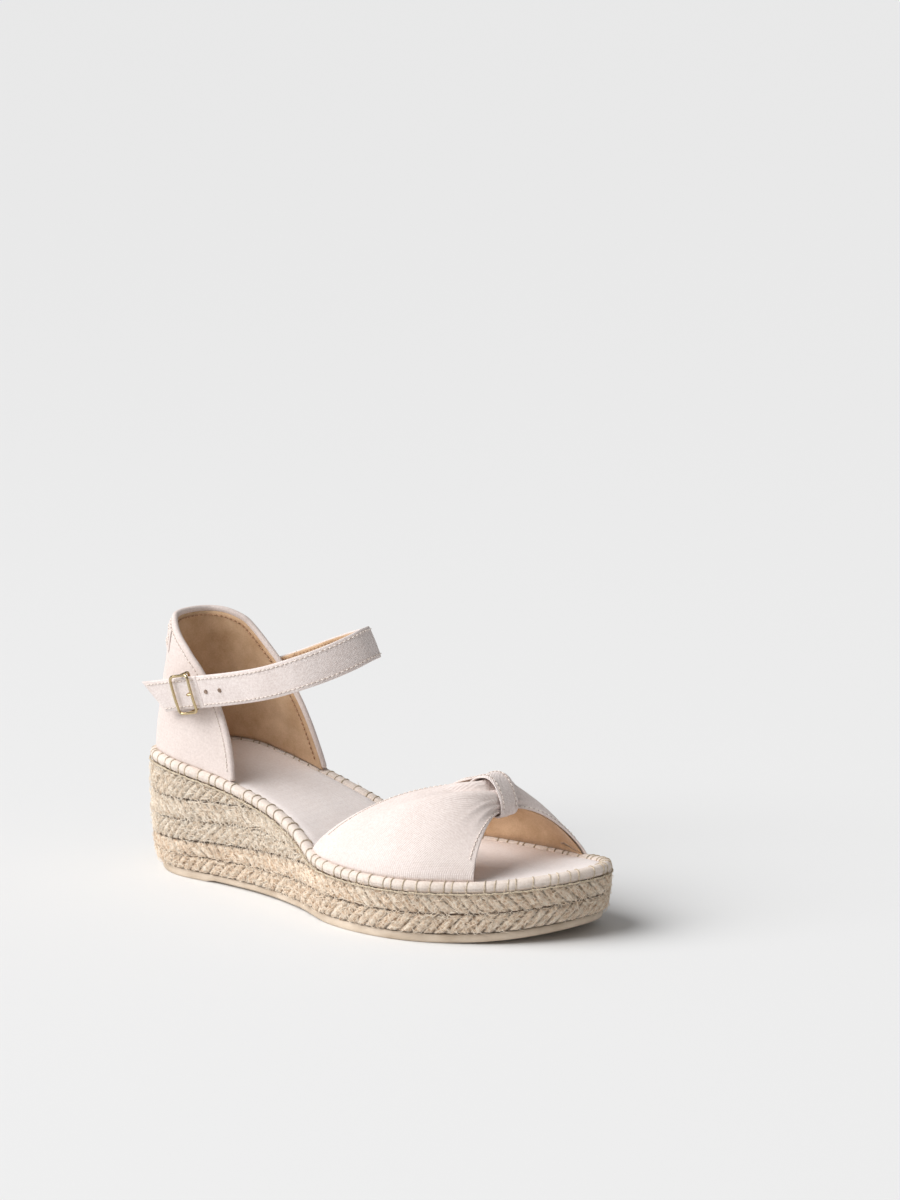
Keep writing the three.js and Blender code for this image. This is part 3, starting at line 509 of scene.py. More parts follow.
def braid(name, start, end, low, high, leans, material, cover, pitch=5.6, depth=2.2, step=0.36):
    """A flat braid seen from its edge: rows of leaning strands, one row above the other. Across a
    strand the height is a half circle, along it it falls to the row's edges, and a few sines in
    step with the strand make its fibres. The back of the section is a plain rectangle."""
    columns = int((end - start) * ROUND / step)
    ring = end - start >= 1
    u = np.linspace(start, end, columns, endpoint=not ring)[:, None]
    s = station_of(u)
    rows = len(leans)
    v = np.linspace(0, 1, 15 * rows + 1)[None, :]
    r = np.minimum((v * rows).astype(int), rows - 1)
    vr = v * rows - r
    lower, upper = low(s), high(s)
    rise = np.maximum(upper - lower, 0.05)
    lean = np.asarray(leans)[r]
    a = u * ROUND
    row_height = rise / rows
    wander = 0.7 * np.sin(a / 9 + r * 2) + 0.5 * np.sin(a / 4.3 + r)
    q = (a - lean * (vr - 0.5) * row_height + wander) / pitch + 0.37 * r + 400
    i = np.floor(q).astype(int)
    f = q - i
    chance = rng.random((3, 4000))
    c0, c1, c2 = (chance[k][(i + 977 * r) % 4000] for k in range(3))
    across = 2 * f - 1
    lobe = np.maximum(0, 1 - np.abs(across) ** 2.6)
    tuck = np.clip(1 - (2 * vr - 1) ** 2, 0, 1) ** 0.4
    fibres = np.sin(2 * np.pi * (4 * f + 3 * c1) + 2.2 * np.sin(3 * vr + 6 * c2)) * 0.11
    fibres = fibres + 0.08 * np.sin(2 * np.pi * (7 * f + 7 * c0) - 3 * vr)
    bulk = (0.22 + 0.78 * lobe * (0.8 + 0.35 * c0)) * tuck
    slope = 0.35 * (vr - 0.5) * np.sign(lean) * (c2 - 0.2)
    rough = 0.12 * np.sin(a * 2.1 + 5 * vr + 9 * c0) * np.sin(a * 0.93 + 7 * vr)
    stand = depth * (bulk + fibres + rough + slope * tuck)
    face = edge(u, 2.05 - stand, lower + rise * v)
    back_u = np.repeat(u, 4, axis=1)
    back_z = lower + rise * np.array([[0.985, 0.985, 0.015, 0.015]])
    back_inset = np.array([[3.2, 8, 8, 3.2]])
    back = edge(back_u, back_inset, back_z)
    loop = np.concatenate([face, back], axis=1)
    if loop.shape[1] % 2:
        loop = np.concatenate([loop, edge(u, 2.0, lower + rise * 0.01)], axis=1)
    extra = loop.shape[1] - face.shape[1]
    strand = np.stack([q * pitch, (vr * row_height * 1.4) + 41.0 * i], -1)
    strand = np.concatenate([strand, np.repeat(strand[:, :1], extra, axis=1)], axis=1)
    # Painted shade mask: highest where a strand thins into the gap between strands, and full on the hidden
    # back of the section.
    hollow = np.clip(1 - bulk / 0.56, 0, 1) ** 0.9
    hollow = np.concatenate([hollow, np.ones((columns, extra))], axis=1)
    tone = np.concatenate([c1 * 2 - 1, np.zeros((columns, extra))], axis=1)
    return skin(name, loop, material, "sole", "jute", ring=ring, uv=strand, cover=cover,
                hollow=hollow[None], tone=tone[None])


braid("sole_braid_jute", 0, 1, lambda s: 4.1 + toe_spring(s), sole_braid_top, (1.0, -1.0), SOLE_JUTE,
      ("sole_braid",), step=0.42)
braid("wedge_braid_jute_lower", share_at(132, "inner") - 1, share_at(132, "outer"),
      lambda s: sole_braid_top(s) + 0.1, wedge_braid_top, (1.1, -1.1), WEDGE_JUTE,
      ("wedge_braid_lower",), pitch=4.9, depth=2.0)
braid("wedge_braid_jute_upper", share_at(79, "inner") - 1, share_at(79, "outer"),
      lambda s: wedge_braid_top(s) + 0.1, rim_low, (1.1,), WEDGE_JUTE,
      ("wedge_braid_upper",), pitch=4.9, depth=2.0)


def loose_fibres(name, count, start, end, low, high, material):
    """Frayed jute: thin hairs that leave the braid at random, rise up to a millimetre and curl back.
    Most lie nearly flat along the strands, so the braid looks woolly."""
    u = rng.uniform(start, end, count)[:, None]
    t = np.linspace(0, 1, 5)[None]
    s = station_of(u)
    v = rng.uniform(0.03, 0.97, (count, 1))
    reach = rng.uniform(2, 7, (count, 1))
    turn = rng.normal(0, 0.7, (count, 1)) + np.pi * rng.integers(0, 2, (count, 1))
    out = 0.15 + 1.1 * rng.random((count, 1)) ** 2.5
    du = reach * t * np.cos(turn) / ROUND
    z = low(s) + (high(s) - low(s)) * v + reach * t * np.sin(turn) + 0.8 * np.sin(3 * t + 6 * v)
    z = np.clip(z, low(s), None)
    paths = edge(u + du, 0.6 - (0.6 + out) * np.sin(np.pi * (0.1 + 0.75 * t)), z)
    fat = rng.uniform(0.07, 0.16, (count, 1)) * np.sqrt(1 - 0.95 * t**2)
    sections = tubes(paths, np.array([0.3, 0.2, 1.0]), fat, sides=4)
    uv = np.zeros((*sections.shape[:3], 2))
    uv[..., 0] = (u * 5000)[:, :, None]
    # The loose hairs carry none of the painted gap shade.
    return skin(name, sections, material, "sole", "jute", uv=uv, hollow=0.0, tone=1.2)


loose_fibres("sole_loose_fibres", 4600, 0, 1, lambda s: 4.6 + toe_spring(s), sole_braid_top, SOLE_JUTE)
loose_fibres("wedge_loose_fibres", 4400, share_at(112, "inner") - 1, share_at(112, "outer"),
             sole_braid_top, rim_low, WEDGE_JUTE)

# ---------- footbed and rim ----------

def footbed():
    """The padded canvas footbed: straight lines across between the two sides, dished 0.5 mm, with
    soft low waves where the cloth is not quite tight, and rounded down at its edge."""
    tip = station_of(TIP)
    s = tip / 2 * (1 - np.cos(np.pi * np.linspace(0.012, 0.99, 150)))
    t = np.sin(np.linspace(-1, 1, 61) * np.pi / 2)[None, :]
    inset = RIM_WIDTH + 0.1
    outer = edge(share_at(s, "outer"), inset, rim_top(s))[:, None]
    inner = edge(share_at(s, "inner"), inset, rim_top(s))[:, None]
    flat = outer * (1 - t[..., None]) / 2 + inner * (1 + t[..., None]) / 2
    x, y = flat[..., 0], flat[..., 1]
    wave = 0.16 * np.sin(x / 11 + y / 7) * np.sin(y / 9 - x / 23)
    dish = -0.5 * (1 - t**2) ** 0.5
    border = np.concatenate([outer[:, 0, :2], inner[:, 0, :2]])
    gap = np.hypot(x[..., None] - border[:, 0], y[..., None] - border[:, 1]).min(-1)
    flat[..., 2] = rim_top(s)[:, None] - 0.35 + dish + wave - 1.3 * np.exp(-gap / 1.5)
    under = flat.copy()
    under[..., 2] = flat[..., 2] - 2.6
    loop = np.concatenate([flat, under[:, ::-1]], axis=1)
    uv = np.stack([x, y], -1)
    uv = np.concatenate([uv, uv[:, ::-1]], axis=1)
    return skin("footbed_canvas", loop, SOCK_CANVAS_PAINTED_LIGHT, "sole", "canvas", uv=uv,
                cover=("insole_sock", "insole_foam"))


footbed()


def stitch_count(u):
    """How many rim stitches lie before share u of the outline: evenly spaced but for a slow drift."""
    slow = 0.2 * np.sin(2 * np.pi * 23 * u)
    quick = 0.14 * np.sin(2 * np.pi * 61 * u + 1) - 0.14 * math.sin(1)
    return u * CELLS + slow + quick


CELLS = round(ROUND / STITCH_PITCH)


def rim():
    """The rolled canvas rim: an oval section whose outer side is pinched where each stitch crosses
    it, so it puffs out as a rounded cell between stitches."""
    n = 1300
    u = np.arange(n)[:, None] / n
    s = station_of(u)
    a = np.linspace(0, 2 * np.pi, 22, endpoint=False)[None, :]
    chance = rng.normal(0, 1, CELLS + 1)
    uneven = 1 + 0.2 * np.interp(u * CELLS, np.arange(CELLS + 1), chance)
    puff = np.abs(np.sin(np.pi * stitch_count(u))) ** 0.6 * uneven
    swell = 0.86 + 0.15 * puff + 0.03 * np.sin(u * 190) + 0.025 * np.sin(u * 431 + 2 * np.sin(a))
    outer = np.clip(np.cos(a), 0, 1)
    r = 1 + (swell - 1) * (0.35 + 0.65 * outer)
    inset = RIM_INSET - RIM_REACH * signed_power(np.cos(a), 0.85) * r
    z = rim_top(s) - RIM_SINK + 2.55 * signed_power(np.sin(a), 0.85) * (0.94 + 0.06 * puff)
    sections = edge(u, inset, z)
    uv = np.stack(np.broadcast_arrays(u * ROUND, a * 2.5), -1)
    skin("rim_canvas_roll", sections, RIM_CANVAS, "sole", "canvas", ring=True, uv=uv, cover=("rim_binding",))


rim()


def blanket_stitch():
    """Blanket stitch in linen thread: one thread up over the rim at each pinch, leaning a little,
    and a thread along the foot of the rim that hangs slightly between them."""
    fine = np.linspace(0, 1, 9000)
    u = np.interp(np.arange(CELLS), stitch_count(fine), fine)[:, None]
    t = np.linspace(0, 1, 12)[None]
    a = np.pi * (-0.36 + 1.3 * t)
    lean = (0.9 * (t - 0.35) + rng.normal(0, 0.25, (CELLS, 1)) * t) / ROUND
    inset = RIM_INSET - RIM_REACH * signed_power(np.cos(a), 0.75) * 0.86 - 0.22 * np.cos(a)
    z = rim_top(station_of(u)) - RIM_SINK + 2.62 * signed_power(np.sin(a), 0.75)
    paths = edge(u + lean, inset, z)
    knot = 0.7 * np.exp(-((t - 0.95) / 0.07) ** 2)
    fat = 0.27 * (1 + 0.12 * np.sin(9 * t + u * 700) + knot)
    up = outward(u + lean) + [0, 0, 0.7]
    skin("rim_blanket_stitches", tubes(paths, up, fat), LINEN, "sole", "thread")
    n = CELLS * 10
    w = (np.arange(n) / n)[:, None]
    sag = 0.28 * np.abs(np.sin(np.pi * stitch_count(w)))
    line = edge(w, -0.5 + 0.15 * np.sin(w * 900), rim_top(station_of(w)) - 4.75 - sag)
    path = line.reshape(1, n, 3)
    t_dir = unit(np.roll(path, -1, axis=1) - np.roll(path, 1, axis=1))
    side = unit(np.cross(t_dir, [0, 0, 1.0]))
    top = np.cross(side, t_dir)
    k = np.linspace(0, 2 * np.pi, 8, endpoint=False)[None, None, :, None]
    twist = 0.4 * (1 + 0.16 * np.cos(2 * k + (w * 2600)[None, :, :, None]))
    sections = path[:, :, None] + twist * (np.cos(k) * top[:, :, None] + np.sin(k) * side[:, :, None])
    skin("rim_edge_thread", sections, LINEN, "sole", "thread", ring=True, cover=("rim_thread",))


blanket_stitch()

# ---------- heel counter ----------

U_OUT = share_at(64, "outer")
U_IN = share_at(75, "inner") - 1


def counter_top(u):
    s = station_of(u)
    return np.where(u >= 0, counter_top_outer(s), counter_top_inner(s))


def counter_inset(s, z):
    return UPPER_INSET + 8 * np.maximum(0, (z - rim_top(s)) / 60) ** 1.3


def counter_columns(count):
    """Shares of the outline whose columns are evenly spaced along the counter's top edge."""
    dense = np.linspace(U_OUT, U_IN, 900)
    line = edge(dense, counter_inset(station_of(dense), counter_top(dense)), counter_top(dense))
    total = lengths(line)
    return np.interp(np.linspace(0, total[-1], count), total, dense)


def counter_face(u, v, depth):
    """The counter at height share v: upright at the rim and leaning in as a power of its height, with
    a slight dip above the rim at the sides."""
    s = station_of(u)
    seat = rim_top(s) + 0.1
    z = seat + (counter_top(u) - seat) * v
    dimple = 0.9 * np.exp(-((s - 44) / 12) ** 2 - ((z - 82) / 8) ** 2) * (u > 0)
    ripple = 0.18 * np.sin(s / 6 + z / 5) * np.sin(z / 13) * np.clip(v * 4, 0, 1)
    return edge(u, counter_inset(s, z) + depth + dimple + ripple, z)


def counter():
    u = counter_columns(230)[:, None]
    v = np.concatenate([np.linspace(0, 0.97, 40), [0.985, 1]])[None, :]
    face = counter_face(u, v, 0.55)
    n = normals(face, outward(np.repeat(u, v.size, 1)))
    rim_line = face[:, -1]
    t = unit(np.gradient(rim_line, axis=0))
    out = n[:, -1]
    beyond = unit(np.cross(t, out))
    beyond *= np.where(beyond[:, 2:] < 0, -1, 1)
    phi = np.linspace(0, np.pi, 10)[None, 1:, None]
    r = 0.9
    turn = rim_line[:, None] - out[:, None] * r * (1 - np.cos(phi)) + beyond[:, None] * r * np.sin(phi)
    down = np.array([0.8, 1.6])[None, :, None]
    tail = turn[:, -1:] - beyond[:, None] * down
    middle = np.concatenate([face, turn, tail], axis=1)
    facing = np.concatenate([n, np.cos(phi) * out[:, None] + np.sin(phi) * beyond[:, None],
                             np.repeat(-out[:, None], 2, 1)], axis=1)
    cloth("counter_canvas_outer", middle, 0.95, PLAIN_CANVAS, "sole", "canvas", facing,
          cover=("counter_canvas",))
    lining = counter_face(u, np.linspace(0, 0.985, 30)[None], 2.75)
    lining_n = -normals(lining, outward(np.repeat(u, 30, 1)))
    cloth("counter_suede_lining", lining, 0.8, LINING, "sole", "lining", lining_n, cover=("counter_lining",))
    inner_line = rim_line - out * 2.9 - beyond * 2.6
    stitch_row("counter_lining_stitches", inner_line[4:-4], -out[4:-4], 2.4, 1.7, 0.34, TAN_THREAD,
               "sole", "thread", lift=0.25)
    outer_line = rim_line + out * 0.5 - beyond * 1.6
    sewn_line("counter_edge_stitches", outer_line[4:-4], out[4:-4], "sole")


counter()


def heel_patch():
    """Plain canvas patch over the back of the counter, 10 mm deep, just under its top edge."""
    u = np.linspace(share_at(13, "outer"), share_at(13, "inner") - 1, 90)[:, None]
    drop = shares(22, PATCH_HEIGHT)[None, :]
    s = station_of(u)
    z = counter_top(u) - 2.2 - PATCH_HEIGHT * drop
    middle = edge(u, counter_inset(s, z) - 0.35 + 0.08 * np.sin(s + z / 2), z)
    cloth("heel_patch_canvas", middle, 0.8, PLAIN_CANVAS, "sole", "canvas",
          outward(np.repeat(u, drop.size, 1)), cover=("heel_patch",))
    frame_line = np.concatenate([middle[4:-4, 8], middle[-4, 8:-8],
                                 middle[4:-4, -8][::-1], middle[4, 8:-8][::-1]])
    short = middle.shape[1] - 16
    along = outward(u[4:-4, 0])
    away = unit(np.concatenate([along, outward(np.full(short, u[-4, 0])),
                                along[::-1], outward(np.full(short, u[4, 0]))]))
    sewn_line("heel_patch_stitches", frame_line + away * 0.42, away, "sole")


heel_patch()

# ---------- vamp ----------

# Where each foot of the vamp starts along the rim, and how far it runs.
VAMP_FOOT = {"outer": (125, 87), "inner": (122, 100)}
VAMP_RIDGE = spline([[186.5, 62.5], [190, 64.6], [194.5, 65.2], [198.5, 61.6], [200.7, 56.5], [201.1, 51.5]])
GATHER_HALF = 6.2


def ridge(v):
    return at(VAMP_RIDGE, v * lengths(VAMP_RIDGE)[-1])


def pleats(h, v, lining):
    """Two depths over the vamp: an open fold that deepens towards the loop, gentle behind and steep
    in front, and the fine tucks that fan out from the loop and die away. The lining only sags."""
    near = np.clip((h - 0.36) / 0.46, 0, 1)
    near = near**2 * (3 - 2 * near)
    side = v - 0.53 + 0.55 * (1 - h)
    slack = 0.35 * np.sin(5 * v + 3 * h) * np.sin(np.pi * h) * (1 - h)
    if lining:
        return 6.2 * near * np.exp(-(side / 0.33) ** 2), slack
    fold = 5.2 * near * np.exp(-(side / np.where(side < 0, 0.1 + 0.14 * near, 0.055)) ** 2)
    fold = fold * (1 - 0.5 * np.clip((h - 0.78) / 0.16, 0, 1))
    lips = 0.6 * near * np.exp(-((side - 0.15) / 0.06) ** 2)
    fan = np.clip((h - 0.3) / 0.7, 0, 1) ** 1.6
    tucks = 0.45 * fan * (1 - 2 * np.abs(np.sin(np.pi * (8.5 * v + 0.6 * h)))) * np.clip((v - 0.68) * 8, 0, 1)
    return fold, lips + tucks + slack


def vamp_surface(w, v, depth=0.0, lining=False):
    """The vamp over w from -1 at the outer rim to 1 at the inner rim and v from its back edge to its
    front edge: straight in plan from rim to ridge, and in height a power of a sine, which swells
    most near the front. The tucks and any depth are added along the surface's normal, and the open
    fold sinks down, back and inward."""
    w, v = np.broadcast_arrays(w, v)
    join = 0.86
    h = np.clip((1 - np.abs(w)) / join, 0, 1)
    flat = np.clip(1 - np.abs(w) / (1 - join), 0, 1)
    outer = w < 0
    starts = {side: start + reach * v for side, (start, reach) in VAMP_FOOT.items()}
    foot_s = np.where(outer, starts["outer"], starts["inner"])
    u = np.where(outer, share_at(foot_s, "outer"), share_at(foot_s, "inner"))
    foot = edge(u, UPPER_INSET, rim_top(foot_s) + 0.1)
    crest2 = ridge(v)
    sign = np.where(outer, -1, 1)
    crest = np.stack([crest2[..., 0], sign * GATHER_HALF * (1 - flat), crest2[..., 1]], -1)
    power = np.where(outer, 0.7 - 0.2 * v, 1.1 - 1.9 * v + 1.15 * v**2 + 0.45 * v**6)
    share = np.sin(h * np.pi / 2) ** power
    p = foot + (crest - foot) * h[..., None]
    p[..., 2] = foot[..., 2] + (crest[..., 2] - foot[..., 2]) * share
    n = normals(p, np.array([0.0, 0.0, 1.0]) + 0.6 * unit(p - [170, 0, 20]))
    fold, fine = pleats(h, v, lining)
    sink = np.stack([-0.78 * fold, -0.15 * sign * fold, -0.6 * fold], -1)
    return p + sink + n * (fine * np.clip(h * 6, 0, 1) - depth)[..., None], n


def vamp():
    half = np.linspace(0, 1, 110)
    w = np.concatenate([-1 + half, half[1:]])
    w = np.sort(np.concatenate([w, [-0.997, -0.99, 0.99, 0.997]]))[:, None]
    v = shares(90, 60, 0.6)[None, :]
    outer, n = vamp_surface(w, v, 0.5)
    cloth("vamp_canvas_gathered", outer, 0.95, CANVAS, "sole", "canvas", n, cover=("vamp_canvas",))
    inner, n_in = vamp_surface(w, np.linspace(0.03, 0.988, 70)[None], 1.75, lining=True)
    cloth("vamp_suede_lining", inner, 0.7, LINING, "sole", "lining", -n_in, cover=("vamp_lining",))
    for name, place in (("vamp_back_stitches", 0.028), ("vamp_front_stitches", 0.972)):
        line, up = vamp_surface(w, np.array([[place - 0.004, place, place + 0.004]]), 0.0)
        keep = (np.abs(w[:, 0]) > 0.13) & (np.abs(w[:, 0]) < 0.93)
        for side, some in (("outer", w[:, 0] < 0), ("inner", w[:, 0] > 0)):
            k = keep & some
            sewn_line(f"{name}_{side}", line[k, 1], up[k, 1], "sole", pitch=2.3)


vamp()


def gathering_loop():
    """The canvas band round the gather: a strip that follows the ridge over the top, turns under the
    front and back edges and closes beneath; its edges are folded, so it is thickest there, and it
    narrows a little over the crest."""
    v = np.linspace(0, 1, 40)
    line = ridge(v)
    t = unit(np.gradient(line, axis=0))
    n = np.stack([-t[:, 1], t[:, 0]], -1)
    over = line + n * 1.15
    under = line - n * 4.2
    def cap(end, tangent, normal, sign):
        a = np.linspace(0, np.pi, 12)[1:-1, None]
        centre = end - normal * 1.55
        return centre + normal * 2.7 * np.cos(a) + tangent * sign * 1.9 * np.sin(a)
    path = np.concatenate([over, cap(line[-1], t[-1], n[-1], 1),
                           under[::-1], cap(line[0], t[0], n[0], -1)[::-1]])
    m = len(path)
    normal2 = unit(np.stack([np.roll(path, -1, 0)[:, 1] - np.roll(path, 1, 0)[:, 1],
                             -(np.roll(path, -1, 0)[:, 0] - np.roll(path, 1, 0)[:, 0])], -1))
    normal2 *= np.sign((normal2[:40] * n).sum())
    a = np.linspace(0, 2 * np.pi, 44, endpoint=False)
    across = signed_power(np.cos(a), 0.35)
    thick = signed_power(np.sin(a), 0.6)
    crown = 0.35 * (1 - across**2)
    ribs = 0.12 * np.cos(across * 9)
    width = LOOP_HALF + 0.35 * np.sin(np.linspace(0, 2 * np.pi, m, endpoint=False) + 0.6)
    lift = 0.5 * thick[None] + (crown + ribs + 0.22 * (np.abs(across) > 0.8))[None]
    wrinkle = 0.16 * np.sin(np.linspace(0, 40, m))[:, None] * across[None] ** 2
    x = path[:, :1] + normal2[:, :1] * (lift + wrinkle)
    z = path[:, 1:] + normal2[:, 1:] * (lift + wrinkle)
    yy = width[:, None] * across[None] + 0.6 * np.sin(np.linspace(0, 2 * np.pi, m, endpoint=False))[:, None]
    sections = np.stack([x, yy, z], -1)
    total = lengths(np.concatenate([path, path[:1]]))[:-1]
    uv = np.stack(np.broadcast_arrays(total[:, None], across[None] * 5.4), -1)
    skin("vamp_loop_band", sections, BAND_CANVAS, "sole", "canvas", ring=True, uv=uv,
         cover=("vamp_loop",))
    for sign in (-1, 1):
        row = np.stack([over[2:-2, 0], np.full(36, sign * 4.3), over[2:-2, 1]], -1)
        up = np.stack([n[2:-2, 0], np.zeros(36), n[2:-2, 1]], -1)
        row = row + up * 1.0
        side = "outer" if sign < 0 else "inner"
        sewn_line(f"loop_edge_stitches_{side}", row, up, "sole", pitch=2.2, radius=0.18)


gathering_loop()

# ---------- ankle strap ----------

STRAP_LINE = spline([
    [35.5, -32.3, 87.7], [54, -32.8, 91.5], [74, -31.8, 95.8], [89, -30, 99.8],
    [102, -25.5, 104.6], [111.5, -17.5, 109], [117.5, -8, 113], [119, 1, 115.4],
    [114.5, 11.5, 114.6], [105.5, 19.5, 111.5], [92, 25, 107], [78, 27.6, 101.8],
    [62, 27.8, 95.3], [46, 27, 89],
])
STRAP_RUN = lengths(STRAP_LINE)[-1]


def across_strap(t):
    t = np.clip(np.asarray(t, float), 0, 1)
    rake = 0.21 + 0.19 * np.sin(np.pi * t)
    return unit(np.stack([-rake, np.full(rake.shape, -0.16), np.ones(rake.shape)], -1))


BUCKLE_SHARE = 0.03
BUCKLE_AT = BUCKLE_SHARE * STRAP_RUN
BUCKLE = at(STRAP_LINE, BUCKLE_AT)
ACROSS = across_strap(BUCKLE_SHARE)
ALONG = at(STRAP_LINE, BUCKLE_AT + 0.3) - at(STRAP_LINE, BUCKLE_AT - 0.3)
ALONG = unit(ALONG - ACROSS * (ALONG @ ACROSS))
INWARD = np.cross(ACROSS, ALONG)


def buckle_point(x, y, z):
    """A point in the buckle's own frame: x along the strap, y inward, z across."""
    return BUCKLE + np.multiply.outer(x, ALONG) + np.multiply.outer(y, INWARD) + np.multiply.outer(z, ACROSS)


def row_frame(point):
    return tuple((np.asarray(point) - [HEEL_SEAT, 0, 0]) / 1000)


# The strap's whole run: straight back from the buckle to the free tip, forward round the instep,
# and on along the inner side of the counter, where it is sewn down.
TIP_REACH = 27.0
SEWN_S = np.array([37.0, 28.0])
SEWN_Z = np.array([85.6, 82.4])
SEWN = edge(share_at(SEWN_S, "inner"), counter_inset(SEWN_S, SEWN_Z) - 1.0, SEWN_Z)
BACK = buckle_point(np.linspace(-TIP_REACH, -0.5, 40), np.zeros(40), np.zeros(40))
FRONT = at(STRAP_LINE, np.linspace(BUCKLE_AT, STRAP_RUN, 400))
ROOT = spline([STRAP_LINE[-30], STRAP_LINE[-1], SEWN[0], SEWN[1]])[24:]
STRAP_PATH = np.concatenate([BACK, FRONT, ROOT[3:]])
STRAP_TOTAL = lengths(STRAP_PATH)[-1]


def strap_strip(start, end, width, lift, count, ends=True):
    """Points of the strap between two distances along it: its centre line plus an offset across it,
    lifted outward; the slant of the free tip cuts the lower corner away."""
    d = start + (end - start) * (shares(count, end - start) if ends else np.linspace(0, 1, count))
    p = at(STRAP_PATH, d)
    before, after = at(STRAP_PATH, np.maximum(d - 1, 0)), at(STRAP_PATH, np.minimum(d + 1, STRAP_TOTAL))
    t = (d - TIP_REACH + BUCKLE_AT) / STRAP_RUN
    side = across_strap(np.maximum(t, BUCKLE_SHARE))
    out = unit(np.cross(unit(after - before), side))
    w = (shares(26, 2 * width) * 2 - 1) * width
    grid = p[:, None] + side[:, None] * w[None, :, None]
    slant = np.clip((width - w[None, :]) / (2 * width), 0, 1) * 10.5
    cut = np.clip(1 - d[:, None] / 20, 0, 1)
    along = unit(after - before)
    grid = grid + along[:, None] * (slant * cut)[..., None]
    crown = 0.25 * (1 - (w / width) ** 2)[None, :, None]
    grid = grid + out[:, None] * (lift + crown)
    return grid, np.repeat(out[:, None], w.size, 1), w


def strap_part(name, start, end, body, cover, bend=None, count=200):
    """One length of strap: canvas outside, a suede lining inside, and a row of stitches along each edge."""
    width = STRAP_WIDTH / 2
    made = []
    grid, out, w = strap_strip(start, end, width, STRAP_THICKNESS / 2 - 0.75, count)
    ripple = 0.1 * np.sin(run(grid, 0) / 5.3) * np.sin(run(grid, 0) / 11)
    made.append(cloth(f"{name}_canvas", grid + out * ripple[..., None], 1.3, BAND_CANVAS, None, "canvas",
                      out, edge_radius=0.6, cover=[c for c in cover if "lining" not in c]))
    grid, out, w = strap_strip(start, end, width - 0.45, -STRAP_THICKNESS / 2 + 0.3, count)
    made.append(cloth(f"{name}_lining", grid, 0.95, LINING, None, "lining", -out,
                      cover=[c for c in cover if "lining" in c]))
    for edge_name, offset in (("lower", -width + 1.7), ("upper", width - 1.7)):
        grid, out, w = strap_strip(start, end, width, STRAP_THICKNESS / 2 - 0.05, count, ends=False)
        k = int(np.abs(w - offset).argmin())
        keep = slice(3, -3) if start < 5 else slice(None)
        row = grid[keep, k] + out[keep, k] * 0.04
        made += sewn_line(f"{name}_stitches_{edge_name}", row, out[keep, k], None)
        inside, out, w = strap_strip(start, end, width, -STRAP_THICKNESS / 2 - 0.12, count, ends=False)
        made.append(stitch_row(f"{name}_inner_stitches_{edge_name}", inside[keep, k], -out[keep, k],
                               2.4, 1.5, 0.22, TAN_THREAD, None, "thread"))
    for piece in made:
        if bend:
            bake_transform(piece)
        else:
            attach(piece, body)
    return made


SPLIT_FRONT = TIP_REACH + 9.0
SPLIT_BACK = STRAP_TOTAL - lengths(ROOT)[-1] - 12.0
tail_bend = (row_frame(buckle_point(-5.0, 0.0, 0.0)), row_frame(buckle_point(-10.0, 0.0, 0.0)))
strap_part("strap_tail", 0.0, SPLIT_FRONT, None, ("strap_tip_canvas", "strap_tip_lining"), count=70,
           bend=("strap", "strap_tip", *tail_bend))
strap_part("strap_band", SPLIT_FRONT, SPLIT_BACK, "strap", ("strap_canvas", "strap_lining"), count=260)
root_bend = (row_frame(at(STRAP_PATH, STRAP_TOTAL - 16)), row_frame(at(STRAP_PATH, SPLIT_BACK)))
strap_part("strap_root", SPLIT_BACK, STRAP_TOTAL, None, (), count=60, bend=("sole", "strap", *root_bend))


def strap_holes():
    """Punched holes: a small well with a slightly raised ring round it, both coloured dark as painted shade
    for the hole.
    """
    angle = np.linspace(0, 2 * np.pi, 20, endpoint=False)
    for number, x in enumerate((13.0, 21.3)):
        d = TIP_REACH + x
        centre, before, after = at(STRAP_PATH, d), at(STRAP_PATH, d - 1), at(STRAP_PATH, d + 1)
        side = across_strap(x / STRAP_RUN + BUCKLE_SHARE)
        along = unit(after - before)
        out = unit(np.cross(along, side))
        loops = [(0.1, 1.32), (0.6, 1.34), (0.8, 1.44), (0.95, 1.42), (1.1, 1.1)]
        spoke = np.cos(angle)[:, None] * along + np.sin(angle)[:, None] * side
        rings = np.stack([centre + out * (STRAP_THICKNESS / 2 - 0.82 + lift) + r * spoke
                          for r, lift in loops])
        skin(f"strap_hole_{number + 1}", rings, HOLE_SHADE, "strap", "thread")


strap_holes()

# ---------- buckle ----------

def wire(name, path, radius, closed, body, cover):
    """Round wire along a path of points."""
    p = np.asarray(path, float)[None]
    t = unit(np.roll(p, -1, 1) - np.roll(p, 1, 1)) if closed else unit(np.gradient(p, axis=1))
    side = np.broadcast_to(unit(INWARD + 0.02 * ALONG), p.shape)
    side = unit(side - t * (side * t).sum(-1, keepdims=True))
    top = np.cross(t, side)
    a = np.linspace(0, 2 * np.pi, 14, endpoint=False)[None, None, :, None]
    r = np.broadcast_to(radius, p.shape[:2])[:, :, None, None]
    sections = p[:, :, None] + r * (np.cos(a) * side[:, :, None] + np.sin(a) * top[:, :, None])
    return skin(name, sections, GOLD, body, "brass", ring=closed, cover=cover)


def rounded_loop(width, height, radius, count=16):
    """A rectangle's outline with rounded corners, as x and z."""
    points = []
    for cx, cz, start in ((1, 1, 0), (-1, 1, 90), (-1, -1, 180), (1, -1, 270)):
        a = np.radians(start + np.linspace(0, 90, count))
        points.append(np.stack([cx * (width / 2 - radius) + radius * np.cos(a),
                                cz * (height / 2 - radius) + radius * np.sin(a)], -1))
    corner = np.concatenate(points)
    closed = np.concatenate([corner, corner[:1]])
    return at(closed, np.linspace(0, lengths(closed)[-1], 160, endpoint=False))


